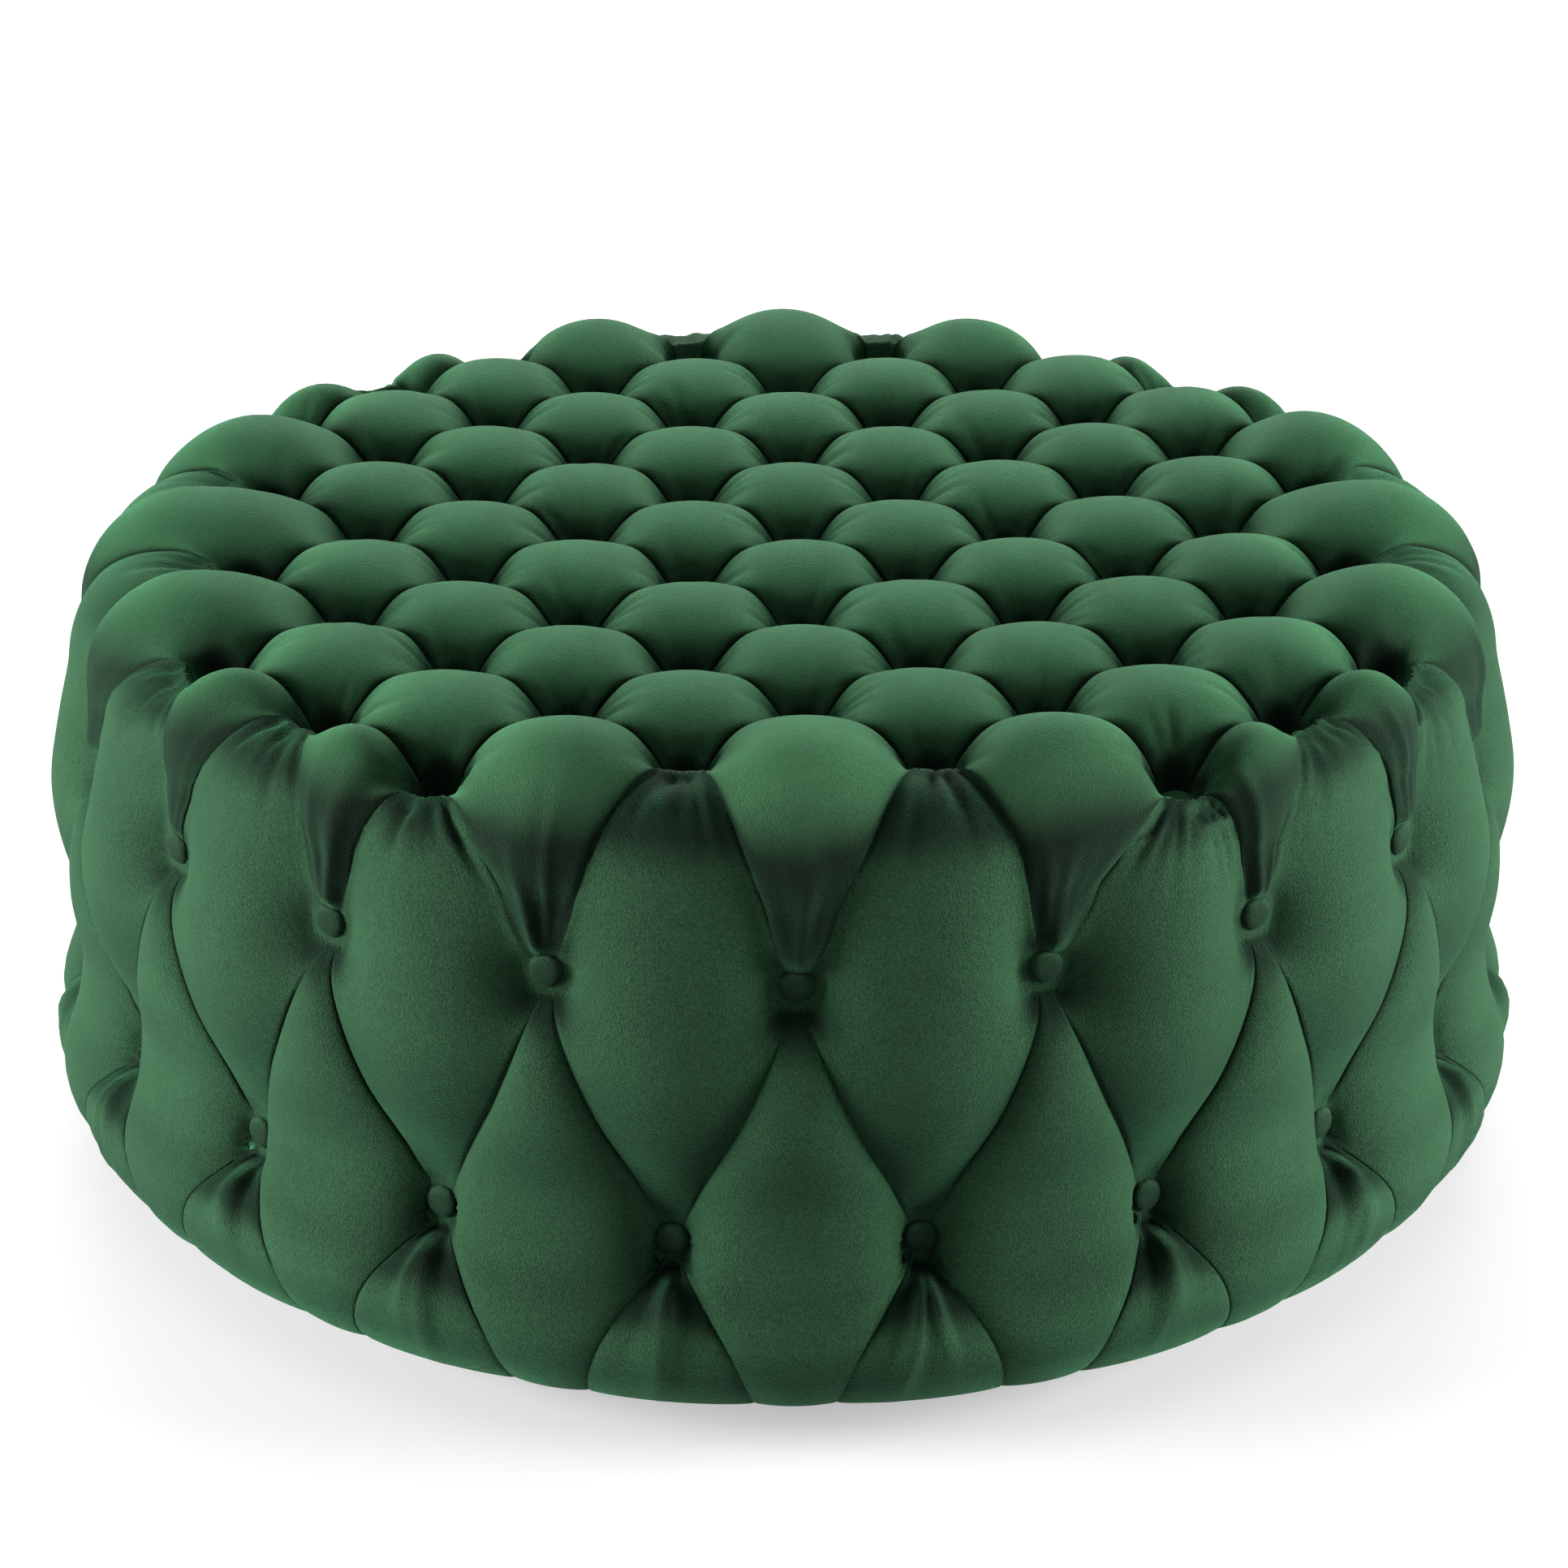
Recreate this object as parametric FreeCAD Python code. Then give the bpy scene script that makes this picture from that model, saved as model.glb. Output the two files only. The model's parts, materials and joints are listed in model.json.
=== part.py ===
import FreeCAD, Part
import math
import os

# A round, deep-buttoned footstool: a plywood drum, foam and fibre padding, a velvet cover pulled in by
# rows of covered buttons, and four low feet. Millimetres, Z up, floor at z = 0, origin at the centre of
# the floor. Angles are seen from above and counted from the front, which is -Y, towards +X.

# Overall
TOTAL_HEIGHT = 430.0
FOOT_HEIGHT = 25.0
HEM_RADIUS = 472.0
LOWER_BELLY_RADIUS = 505.0
LOWER_BELLY_Z = 86.0
WAIST_RADIUS = 483.0
UPPER_BELLY_RADIUS = 498.0
UPPER_BELLY_Z = 221.0
SHOULDER_RADIUS = 478.0
SHOULDER_ROUNDING = 79.0

# Sheet and board thicknesses
COVER_THICKNESS = 2.0
DUST_COVER_THICKNESS = 0.8
STAPLE_THICKNESS = 0.6
STAPLE_GAP = 0.8
BOARD_THICKNESS = 15.0
PANEL_THICKNESS = 4.0
GLUE_GAP = 1.0

# Drum frame
DECK_TOP_Z = 340.0
DRUM_RADIUS = 454.0
BASE_RING_INNER_RADIUS = 340.0
POST_COUNT = 8
POST_SIZE = 40.0
POST_RADIUS = 433.0
PANEL_COUNT = 4
RAIL_HEIGHT = 60.0
RAIL_THICKNESS = 22.0
BATTEN_WIDTH = 28.0
BATTEN_DEPTH = 60.0
BATTEN_HALF_LENGTH = 395.0

# Padding
TOP_FOAM_THICKNESS = 35.0
TOP_FOAM_ROUNDING = 30.0
SIDE_FOAM_THICKNESS = 4.0

# Tufting pattern: a diamond grid on the top and two rows of buttons around the side
PATTERN_TURN = 1.0
GRID_SHIFT_X = 8.5
GRID_HALF_PITCH_X = 71.4
GRID_ROW_PITCH_Y = 75.4
LAST_GRID_ROW = 10
SIDE_COLUMNS = 20
UPPER_ROW_Z = 306.0
LOWER_ROW_Z = 137.0

# Buttons, their pockets and their twines
BUTTON_RADIUS = 11.0
BUTTON_HEIGHT = 7.0
BUTTON_RIM = 1.5
BUTTON_RIM_TOP = 4.5
POCKET_RADIUS = 16.5
POCKET_LINING = 1.5
TWINE_RADIUS = 0.8
TWINE_HOLE_RADIUS = 1.2
BOARD_TUFT_HOLE_RADIUS = 3.0
TOGGLE_RADIUS = 9.0
TOGGLE_THICKNESS = 3.0
TOGGLE_GAP = 0.2
KNOT_RADIUS = 2.2
KNOT_HEIGHT = 3.5

# Seam between the top cover and the side cover: tabs of the top cover point down at the buttons
TAB_TOP_Z = 400.0
TAB_HALF_WIDTH = 62.0
TAB_TIP_CLEARANCE = 4.0
TAB_INNER_RADIUS = 457.0

# Feet and fasteners
FOOT_COUNT = 4
FOOT_ANGLE = 27.0
FOOT_PLACE_RADIUS = 420.0
FOOT_TOP_RADIUS = 20.0
FOOT_SOLE_RADIUS = 17.0
FOOT_SOLE_EDGE = 2.0
FOOT_BORE_RADIUS = 5.0
FOOT_BORE_DEPTH = 10.0
SCREW_RADIUS = 2.0
SCREW_HEAD_RADIUS = 4.0
SCREW_HEAD_HEIGHT = 3.0
SCREW_PLAY = 0.1
POST_SCREW_LENGTH = 45.0
FOOT_SCREW_LENGTH = 26.0
RAIL_SCREW_RADIUS = 375.0
BATTEN_SCREW_Y = (-300.0, 0.0, 300.0)
STAPLE_LENGTH = 10.0
STAPLE_WIDTH = 1.0
HEM_FLANGE_INNER_RADIUS = 395.0
HEM_STAPLE_RADIUS = 404.0
DUST_COVER_RADIUS = 440.0
DUST_STAPLE_RADIUS = 434.0
EDGE_STAPLES = 40
JOINT_STAPLE_ANGLE = 1.5
JOINT_STAPLE_Z = (90.0, 150.0, 210.0, 270.0)

# Levels worked out from the above
DUST_COVER_Z = FOOT_HEIGHT
HEM_Z = DUST_COVER_Z + DUST_COVER_THICKNESS + STAPLE_GAP
BASE_Z = HEM_Z + COVER_THICKNESS
BASE_TOP_Z = BASE_Z + BOARD_THICKNESS
DECK_Z = DECK_TOP_Z - BOARD_THICKNESS
TOP_FOAM_Z = DECK_TOP_Z + TOP_FOAM_THICKNESS
PANEL_RADIUS = DRUM_RADIUS + PANEL_THICKNESS
SIDE_FOAM_INNER_RADIUS = PANEL_RADIUS + GLUE_GAP
SIDE_FOAM_RADIUS = SIDE_FOAM_INNER_RADIUS + SIDE_FOAM_THICKNESS
POST_ANGLE = PATTERN_TURN + 180.0 / POST_COUNT
FAR = 700.0

UP = FreeCAD.Vector(0, 0, 1)
DOWN = FreeCAD.Vector(0, 0, -1)


# ---- places and directions -------------------------------------------------------------------------

def outward(angle):
    """Unit vector that points away from the axis at an angle counted from the front."""
    turn = math.radians(angle)
    return FreeCAD.Vector(math.sin(turn), -math.cos(turn), 0)


def place(radius, angle, z):
    """Point at a distance from the axis, at an angle counted from the front."""
    return outward(angle) * radius + FreeCAD.Vector(0, 0, z)


def turned(shape, angle):
    """Copy of a shape that was built on the front centre line, turned to another angle."""
    copy = shape.copy()
    copy.rotate(FreeCAD.Vector(0, 0, 0), UP, angle)
    return copy


def evenly(count, first=0.0):
    """Angles of a number of equal steps around the axis."""
    return [first + 360.0 * k / count for k in range(count)]


def upper_row_angles():
    """Angles of the side buttons in the upper row."""
    return evenly(SIDE_COLUMNS, PATTERN_TURN)


def lower_row_angles():
    """Angles of the side buttons in the lower row, midway between those of the upper row."""
    return evenly(SIDE_COLUMNS, PATTERN_TURN + 180.0 / SIDE_COLUMNS)


def grid_columns(row):
    """Columns of the buttons in one row of the top grid, counted in half pitches."""
    if row in (0, LAST_GRID_ROW):
        return (-3, -1, 1, 3)
    if row % 2:
        return (-4, -2, 0, 2, 4)
    return (-5, -3, -1, 1, 3, 5)


def grid_places():
    """Points of all top buttons, at z = 0."""
    places = []
    for row in range(LAST_GRID_ROW + 1):
        y = (row - LAST_GRID_ROW / 2) * GRID_ROW_PITCH_Y
        for column in grid_columns(row):
            x = GRID_SHIFT_X + column * GRID_HALF_PITCH_X
            point = FreeCAD.Vector(x, y, 0)
            places.append(FreeCAD.Rotation(UP, PATTERN_TURN).multVec(point))
    return places


def post_angles():
    return evenly(POST_COUNT, POST_ANGLE)


def foot_angles():
    return evenly(FOOT_COUNT, FOOT_ANGLE)


def batten_lines():
    """X of the two deck battens, midway between two columns of twines."""
    return [GRID_SHIFT_X + side * 1.5 * GRID_HALF_PITCH_X for side in (-1, 1)]


def batten_screw_places():
    places = []
    for x in batten_lines():
        for y in BATTEN_SCREW_Y:
            point = FreeCAD.Vector(x, y, 0)
            places.append(FreeCAD.Rotation(UP, PATTERN_TURN).multVec(point))
    return places


def rail_screw_angles():
    return evenly(4, POST_ANGLE)


# ---- building blocks -------------------------------------------------------------------------------

def disc(radius, bottom, top):
    return Part.makeCylinder(radius, top - bottom, FreeCAD.Vector(0, 0, bottom))


def tube(outer, inner, bottom, top):
    return disc(outer, bottom, top).cut(disc(inner, bottom, top))


def rod(radius, start, end):
    """Round bar between two points."""
    along = end - start
    return Part.makeCylinder(radius, along.Length, start, along)


def revolved(edges):
    """Solid of revolution about the axis from edges in the XZ plane that close on themselves."""
    face = Part.Face(Part.Wire(edges))
    return face.revolve(FreeCAD.Vector(0, 0, 0), UP, 360)


def at(radius, z):
    return FreeCAD.Vector(radius, 0, z)


def arc(start, middle, end):
    return Part.Arc(start, middle, end).toShape()


def line(start, end):
    return Part.makeLine(start, end)


def minus(shape, tools):
    """A shape with several separate tools cut from it."""
    return shape.cut(Part.makeCompound(tools))


def group(shapes):
    return Part.makeCompound(shapes)


def padded_body(inset):
    """Outside of the whole upholstered body, drawn in by an inset on every side."""
    bottom = HEM_Z + inset
    top = TOTAL_HEIGHT - inset
    rounding_z = TOTAL_HEIGHT - SHOULDER_ROUNDING
    rounding = SHOULDER_ROUNDING - inset
    centre_radius = SHOULDER_RADIUS - SHOULDER_ROUNDING
    diagonal = rounding * math.sqrt(0.5)
    hem = at(HEM_RADIUS - inset, bottom)
    waist = at(WAIST_RADIUS - inset, LOWER_ROW_Z)
    neck = at(SHOULDER_RADIUS - inset, rounding_z)
    rim = at(centre_radius, top)
    edges = [
        line(at(0, bottom), hem),
        arc(hem, at(LOWER_BELLY_RADIUS - inset, LOWER_BELLY_Z), waist),
        arc(waist, at(UPPER_BELLY_RADIUS - inset, UPPER_BELLY_Z), neck),
        arc(neck, at(centre_radius + diagonal, rounding_z + diagonal), rim),
        line(rim, at(0, top)),
        line(at(0, top), at(0, bottom)),
    ]
    return revolved(edges)


# ---- tufting ---------------------------------------------------------------------------------------

def top_bores(radius, bottom, top):
    """Upright bores at all top buttons."""
    lift = FreeCAD.Vector(0, 0, bottom)
    return [Part.makeCylinder(radius, top - bottom, spot + lift) for spot in grid_places()]


def side_bores(radius, start_radius, end_radius):
    """Level bores at all side buttons, pointing away from the axis."""
    bores = []
    for angles, z in ((upper_row_angles(), UPPER_ROW_Z), (lower_row_angles(), LOWER_ROW_Z)):
        for angle in angles:
            start = place(start_radius, angle, z)
            bores.append(Part.makeCylinder(radius, end_radius - start_radius, start, outward(angle)))
    return bores


def button():
    """Covered button that stands on z = 0: a flat dome with a rolled rim."""
    flat = BUTTON_RADIUS - BUTTON_RIM
    rise = BUTTON_HEIGHT - BUTTON_RIM_TOP
    dome_radius = (flat ** 2 + rise ** 2) / (2 * rise)
    half_way = math.asin(flat / dome_radius) / 2
    dome_centre = BUTTON_HEIGHT - dome_radius
    dome_middle = at(dome_radius * math.sin(half_way), dome_centre + dome_radius * math.cos(half_way))
    edges = [
        line(at(0, 0), at(flat, 0)),
        arc(at(flat, 0), at(BUTTON_RADIUS, BUTTON_RIM_TOP / 2), at(flat, BUTTON_RIM_TOP)),
        arc(at(flat, BUTTON_RIM_TOP), dome_middle, at(0, BUTTON_HEIGHT)),
        line(at(0, BUTTON_HEIGHT), at(0, 0)),
    ]
    return revolved(edges)


def set_on(shape, point, direction):
    """Copy of a shape that stands on z = 0, moved to a point and turned to face a direction."""
    copy = shape.copy()
    copy.Placement = FreeCAD.Placement(point, FreeCAD.Rotation(UP, direction))
    return copy


def top_buttons():
    seat = FreeCAD.Vector(0, 0, TOP_FOAM_Z + COVER_THICKNESS)
    return group([set_on(button(), spot + seat, UP) for spot in grid_places()])


def side_buttons(angles, z):
    seat = SIDE_FOAM_INNER_RADIUS + COVER_THICKNESS
    return group([set_on(button(), place(seat, angle, z), outward(angle)) for angle in angles])


def twine(start, end):
    """Twine from a button's back to the knot behind its toggle."""
    back = end - start
    back.normalize()
    knot = rod(KNOT_RADIUS, end, end + back * KNOT_HEIGHT)
    return rod(TWINE_RADIUS, start, end).fuse(knot).removeSplitter()


def top_twines():
    start = FreeCAD.Vector(0, 0, TOP_FOAM_Z + COVER_THICKNESS)
    end = FreeCAD.Vector(0, 0, DECK_Z - TOGGLE_THICKNESS)
    return group([twine(spot + start, spot + end) for spot in grid_places()])


def side_twines(angles, z):
    start_radius = SIDE_FOAM_INNER_RADIUS + COVER_THICKNESS
    end_radius = DRUM_RADIUS - TOGGLE_GAP - TOGGLE_THICKNESS
    return group([twine(place(start_radius, a, z), place(end_radius, a, z)) for a in angles])


def toggle():
    """Round washer with a hole for the twine, standing on z = 0."""
    return tube(TOGGLE_RADIUS, TWINE_HOLE_RADIUS, 0, TOGGLE_THICKNESS)


def top_toggles():
    level = FreeCAD.Vector(0, 0, DECK_Z - TOGGLE_THICKNESS)
    return group([set_on(toggle(), spot + level, UP) for spot in grid_places()])


def side_toggles(angles, z):
    radius = DRUM_RADIUS - TOGGLE_GAP - TOGGLE_THICKNESS
    return group([set_on(toggle(), place(radius, angle, z), outward(angle)) for angle in angles])


# ---- fasteners -------------------------------------------------------------------------------------

def screw(length, play=0.0):
    """Countersunk screw that hangs from z = 0 downwards; with play it is the hole for one."""
    head = Part.makeCone(SCREW_RADIUS + play, SCREW_HEAD_RADIUS + play, SCREW_HEAD_HEIGHT,
                         FreeCAD.Vector(0, 0, -SCREW_HEAD_HEIGHT))
    shank = Part.makeCylinder(SCREW_RADIUS + play, length - SCREW_HEAD_HEIGHT, FreeCAD.Vector(0, 0, -length))
    return head.fuse(shank).removeSplitter()


def screw_from_above(spot, z, length, play=0.0):
    return set_on(screw(length, play), FreeCAD.Vector(spot.x, spot.y, z), UP)


def screw_from_below(spot, z, length, play=0.0):
    return set_on(screw(length, play), FreeCAD.Vector(spot.x, spot.y, z), DOWN)


def deck_screws(play=0.0):
    spots = [place(POST_RADIUS, angle, 0) for angle in post_angles()] + batten_screw_places()
    return [screw_from_above(spot, DECK_TOP_Z, POST_SCREW_LENGTH, play) for spot in spots]


def base_screws(play=0.0):
    spots = [place(POST_RADIUS, angle, 0) for angle in post_angles()]
    spots += [place(RAIL_SCREW_RADIUS, angle, 0) for angle in rail_screw_angles()]
    return [screw_from_below(spot, BASE_Z, POST_SCREW_LENGTH, play) for spot in spots]


def foot_screws(play=0.0):
    spots = [place(FOOT_PLACE_RADIUS, angle, 0) for angle in foot_angles()]
    return [screw_from_below(spot, FOOT_BORE_DEPTH, FOOT_SCREW_LENGTH, play) for spot in spots]


def flat_staple(radius, angle, top):
    """Crown of a staple that lies under a face, in line with the rim."""
    crown = Part.makeBox(STAPLE_LENGTH, STAPLE_WIDTH, STAPLE_THICKNESS)
    crown.translate(FreeCAD.Vector(-STAPLE_LENGTH / 2, -radius - STAPLE_WIDTH / 2, top - STAPLE_THICKNESS))
    return turned(crown, angle)


def wall_staple(angle, z, upright=False):
    """Crown of a staple that lies on the outside of the drum wall."""
    width, height = STAPLE_LENGTH, STAPLE_WIDTH
    if upright:
        width, height = height, width
    crown = Part.makeBox(width, STAPLE_THICKNESS, height)
    crown.translate(FreeCAD.Vector(-width / 2, -PANEL_RADIUS - GLUE_GAP * 0.9, z - height / 2))
    return turned(crown, angle)


# ---- sub-parts -------------------------------------------------------------------------------------

def base_ring():
    ring = tube(DRUM_RADIUS, BASE_RING_INNER_RADIUS, BASE_Z, BASE_TOP_Z)
    return minus(ring, base_screws(SCREW_PLAY) + foot_screws(SCREW_PLAY))


def base_rail(angle, notch_on_top):
    """One of two crossing rails that are halved into each other over the centre."""
    half_length = POST_RADIUS - POST_SIZE / 2
    rail = Part.makeBox(RAIL_THICKNESS, 2 * half_length, RAIL_HEIGHT)
    rail.translate(FreeCAD.Vector(-RAIL_THICKNESS / 2, -half_length, BASE_TOP_Z))
    notch = Part.makeBox(RAIL_THICKNESS, RAIL_THICKNESS, RAIL_HEIGHT / 2)
    notch_z = BASE_TOP_Z + (RAIL_HEIGHT / 2 if notch_on_top else 0)
    notch.translate(FreeCAD.Vector(-RAIL_THICKNESS / 2, -RAIL_THICKNESS / 2, notch_z))
    return minus(turned(rail.cut(notch), angle), base_screws(SCREW_PLAY))


def frame_post(angle):
    post = Part.makeBox(POST_SIZE, POST_SIZE, DECK_Z - BASE_TOP_Z)
    post.translate(FreeCAD.Vector(-POST_SIZE / 2, -POST_RADIUS - POST_SIZE / 2, BASE_TOP_Z))
    return minus(turned(post, angle), base_screws(SCREW_PLAY) + deck_screws(SCREW_PLAY))


def top_deck():
    deck = disc(DRUM_RADIUS, DECK_Z, DECK_TOP_Z)
    holes = top_bores(BOARD_TUFT_HOLE_RADIUS, DECK_Z, DECK_TOP_Z)
    return minus(deck, holes + deck_screws(SCREW_PLAY))


def deck_batten(x):
    batten = Part.makeBox(BATTEN_WIDTH, 2 * BATTEN_HALF_LENGTH, BATTEN_DEPTH)
    batten.translate(FreeCAD.Vector(x - BATTEN_WIDTH / 2, -BATTEN_HALF_LENGTH, DECK_Z - BATTEN_DEPTH))
    return minus(turned(batten, PATTERN_TURN), deck_screws(SCREW_PLAY))


def side_panel(first_angle):
    """Quarter of the bent wall that is wrapped round the drum, from one post to another."""
    sweep = 360.0 / PANEL_COUNT
    start = at(DRUM_RADIUS, BASE_Z)
    section = Part.makePolygon([
        start,
        at(PANEL_RADIUS, BASE_Z),
        at(PANEL_RADIUS, DECK_TOP_Z),
        at(DRUM_RADIUS, DECK_TOP_Z),
        start,
    ])
    panel = Part.Face(section).revolve(FreeCAD.Vector(0, 0, 0), UP, sweep)
    panel = turned(panel, first_angle - 90)
    return minus(panel, side_bores(BOARD_TUFT_HOLE_RADIUS, DRUM_RADIUS - 10, PANEL_RADIUS + 10))


def side_panel_staples():
    """Staples along the deck's edge, the base ring's edge and both sides of each panel joint."""
    half_board = BOARD_THICKNESS / 2
    staples = []
    for angle in evenly(EDGE_STAPLES, POST_ANGLE + 180.0 / EDGE_STAPLES):
        staples.append(wall_staple(angle, DECK_TOP_Z - half_board))
        staples.append(wall_staple(angle, BASE_Z + half_board))
    for joint in evenly(PANEL_COUNT, POST_ANGLE):
        for side in (-JOINT_STAPLE_ANGLE, JOINT_STAPLE_ANGLE):
            for z in JOINT_STAPLE_Z:
                staples.append(wall_staple(joint + side, z, upright=True))
    return group(staples)


def top_foam():
    radius = SIDE_FOAM_RADIUS
    centre_radius = radius - TOP_FOAM_ROUNDING
    centre_z = TOP_FOAM_Z - TOP_FOAM_ROUNDING
    diagonal = TOP_FOAM_ROUNDING * math.sqrt(0.5)
    edges = [
        line(at(0, DECK_TOP_Z), at(radius, DECK_TOP_Z)),
        line(at(radius, DECK_TOP_Z), at(radius, centre_z)),
        arc(at(radius, centre_z), at(centre_radius + diagonal, centre_z + diagonal),
            at(centre_radius, TOP_FOAM_Z)),
        line(at(centre_radius, TOP_FOAM_Z), at(0, TOP_FOAM_Z)),
        line(at(0, TOP_FOAM_Z), at(0, DECK_TOP_Z)),
    ]
    return revolved(edges)


def top_foam_bored():
    return minus(top_foam(), top_bores(TWINE_HOLE_RADIUS, DECK_TOP_Z, TOP_FOAM_Z))


def side_foam():
    wrap = tube(SIDE_FOAM_RADIUS, SIDE_FOAM_INNER_RADIUS, BASE_Z, DECK_TOP_Z)
    return minus(wrap, side_bores(POCKET_RADIUS + POCKET_LINING, SIDE_FOAM_INNER_RADIUS - 5, FAR))


def top_fill():
    """Fibre filling of the top, from the foam to the cover, open at each button."""
    body = padded_body(COVER_THICKNESS).common(disc(FAR, DECK_TOP_Z, TOTAL_HEIGHT))
    return minus(body.cut(top_foam()), top_bores(POCKET_RADIUS + POCKET_LINING, TOP_FOAM_Z, TOTAL_HEIGHT))


def side_fill():
    """Fibre filling around the side, open at each button."""
    body = padded_body(COVER_THICKNESS).common(disc(FAR, BASE_Z, DECK_TOP_Z))
    body = body.cut(disc(SIDE_FOAM_RADIUS, BASE_Z, DECK_TOP_Z))
    return minus(body, side_bores(POCKET_RADIUS + POCKET_LINING, SIDE_FOAM_INNER_RADIUS - 5, FAR))


def cover_shell():
    """Whole velvet cover with a lined pocket at each button and its hem turned in under the base."""
    pockets = top_bores(POCKET_RADIUS, TOP_FOAM_Z + COVER_THICKNESS, FAR)
    pockets += side_bores(POCKET_RADIUS, SIDE_FOAM_INNER_RADIUS + COVER_THICKNESS, FAR)
    linings = top_bores(POCKET_RADIUS + POCKET_LINING, TOP_FOAM_Z, FAR)
    linings += side_bores(POCKET_RADIUS + POCKET_LINING, SIDE_FOAM_INNER_RADIUS, FAR)
    outside = minus(padded_body(0), pockets)
    inside = minus(padded_body(COVER_THICKNESS), linings)
    opening = disc(HEM_FLANGE_INNER_RADIUS, HEM_Z - 1, BASE_Z + 1)
    twine_holes = top_bores(TWINE_HOLE_RADIUS, DECK_TOP_Z, TOTAL_HEIGHT)
    twine_holes += side_bores(TWINE_HOLE_RADIUS, DRUM_RADIUS, WAIST_RADIUS)
    shell = minus(outside.cut(inside).cut(opening), twine_holes)
    return minus(shell, foot_screws(SCREW_PLAY))


def seam_tab(angle):
    """Wedge over one tab of the top cover, which points down at a button of the upper row."""
    tip_z = UPPER_ROW_Z + POCKET_RADIUS + POCKET_LINING + TAB_TIP_CLEARANCE
    corners = [
        FreeCAD.Vector(-TAB_HALF_WIDTH, -FAR, TAB_TOP_Z),
        FreeCAD.Vector(TAB_HALF_WIDTH, -FAR, TAB_TOP_Z),
        FreeCAD.Vector(0, -FAR, tip_z),
        FreeCAD.Vector(-TAB_HALF_WIDTH, -FAR, TAB_TOP_Z),
    ]
    wedge = Part.Face(Part.makePolygon(corners)).extrude(FreeCAD.Vector(0, FAR - TAB_INNER_RADIUS, 0))
    return turned(wedge, angle)


def side_region():
    """Space that holds the side cover: outside the top pockets and between the tabs."""
    region = disc(FAR, 0, TAB_TOP_Z).cut(disc(TAB_INNER_RADIUS, DECK_TOP_Z, TAB_TOP_Z))
    return minus(region, [seam_tab(angle) for angle in upper_row_angles()])


def hem_staples():
    return group([flat_staple(HEM_STAPLE_RADIUS, angle, HEM_Z) for angle in evenly(EDGE_STAPLES)])


def dust_cover():
    sheet = disc(DUST_COVER_RADIUS, DUST_COVER_Z, DUST_COVER_Z + DUST_COVER_THICKNESS)
    return minus(sheet, foot_screws(SCREW_PLAY))


def dust_cover_staples():
    """Staples around the dust cover's edge, at angles between those of the feet."""
    angles = evenly(EDGE_STAPLES, 180.0 / EDGE_STAPLES)
    return group([flat_staple(DUST_STAPLE_RADIUS, angle, DUST_COVER_Z) for angle in angles])


def foot(angle):
    """Low tapered glide with a counterbore for its screw."""
    edges = [
        line(at(0, 0), at(FOOT_SOLE_RADIUS - FOOT_SOLE_EDGE, 0)),
        line(at(FOOT_SOLE_RADIUS - FOOT_SOLE_EDGE, 0), at(FOOT_SOLE_RADIUS, FOOT_SOLE_EDGE)),
        line(at(FOOT_SOLE_RADIUS, FOOT_SOLE_EDGE), at(FOOT_TOP_RADIUS, FOOT_HEIGHT)),
        line(at(FOOT_TOP_RADIUS, FOOT_HEIGHT), at(0, FOOT_HEIGHT)),
        line(at(0, FOOT_HEIGHT), at(0, 0)),
    ]
    body = revolved(edges).cut(disc(FOOT_BORE_RADIUS, 0, FOOT_BORE_DEPTH))
    standing = set_on(body, place(FOOT_PLACE_RADIUS, angle, 0), UP)
    return minus(standing, foot_screws(SCREW_PLAY))


# ---- output ----------------------------------------------------------------------------------------

def all_parts():
    parts = {
        "base_ring": base_ring(),
        "base_rail_long": base_rail(POST_ANGLE, notch_on_top=True),
        "base_rail_cross": base_rail(POST_ANGLE + 90, notch_on_top=False),
        "top_deck": top_deck(),
        "side_panel_staples": side_panel_staples(),
        "deck_screws": group(deck_screws()),
        "base_screws": group(base_screws()),
        "foot_screws": group(foot_screws()),
        "top_foam": top_foam_bored(),
        "side_foam": side_foam(),
        "top_fill": top_fill(),
        "side_fill": side_fill(),
        "hem_staples": hem_staples(),
        "dust_cover": dust_cover(),
        "dust_cover_staples": dust_cover_staples(),
        "top_buttons": top_buttons(),
        "top_twines": top_twines(),
        "top_toggles": top_toggles(),
    }
    for number, angle in enumerate(post_angles(), 1):
        parts[f"frame_post_{number}"] = frame_post(angle)
    for name, x in zip(("deck_batten_left", "deck_batten_right"), batten_lines()):
        parts[name] = deck_batten(x)
    for number, angle in enumerate(evenly(PANEL_COUNT, POST_ANGLE), 1):
        parts[f"side_panel_{number}"] = side_panel(angle)
    for number, angle in enumerate(foot_angles(), 1):
        parts[f"foot_{number}"] = foot(angle)
    rows = (("upper", upper_row_angles(), UPPER_ROW_Z), ("lower", lower_row_angles(), LOWER_ROW_Z))
    for name, angles, z in rows:
        parts[f"{name}_side_buttons"] = side_buttons(angles, z)
        parts[f"{name}_side_twines"] = side_twines(angles, z)
        parts[f"{name}_side_toggles"] = side_toggles(angles, z)
    shell = cover_shell()
    region = side_region()
    parts["side_cover"] = shell.common(region)
    parts["top_cover"] = shell.cut(region)
    return parts


os.makedirs("parts", exist_ok=True)
for node, shape in all_parts().items():
    shape.exportStep(f"parts/{node}.step")
    print(node, len(shape.Solids), "solids", round(shape.Volume / 1000), "cm3", "valid", shape.isValid())
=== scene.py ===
import json
import math

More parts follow.
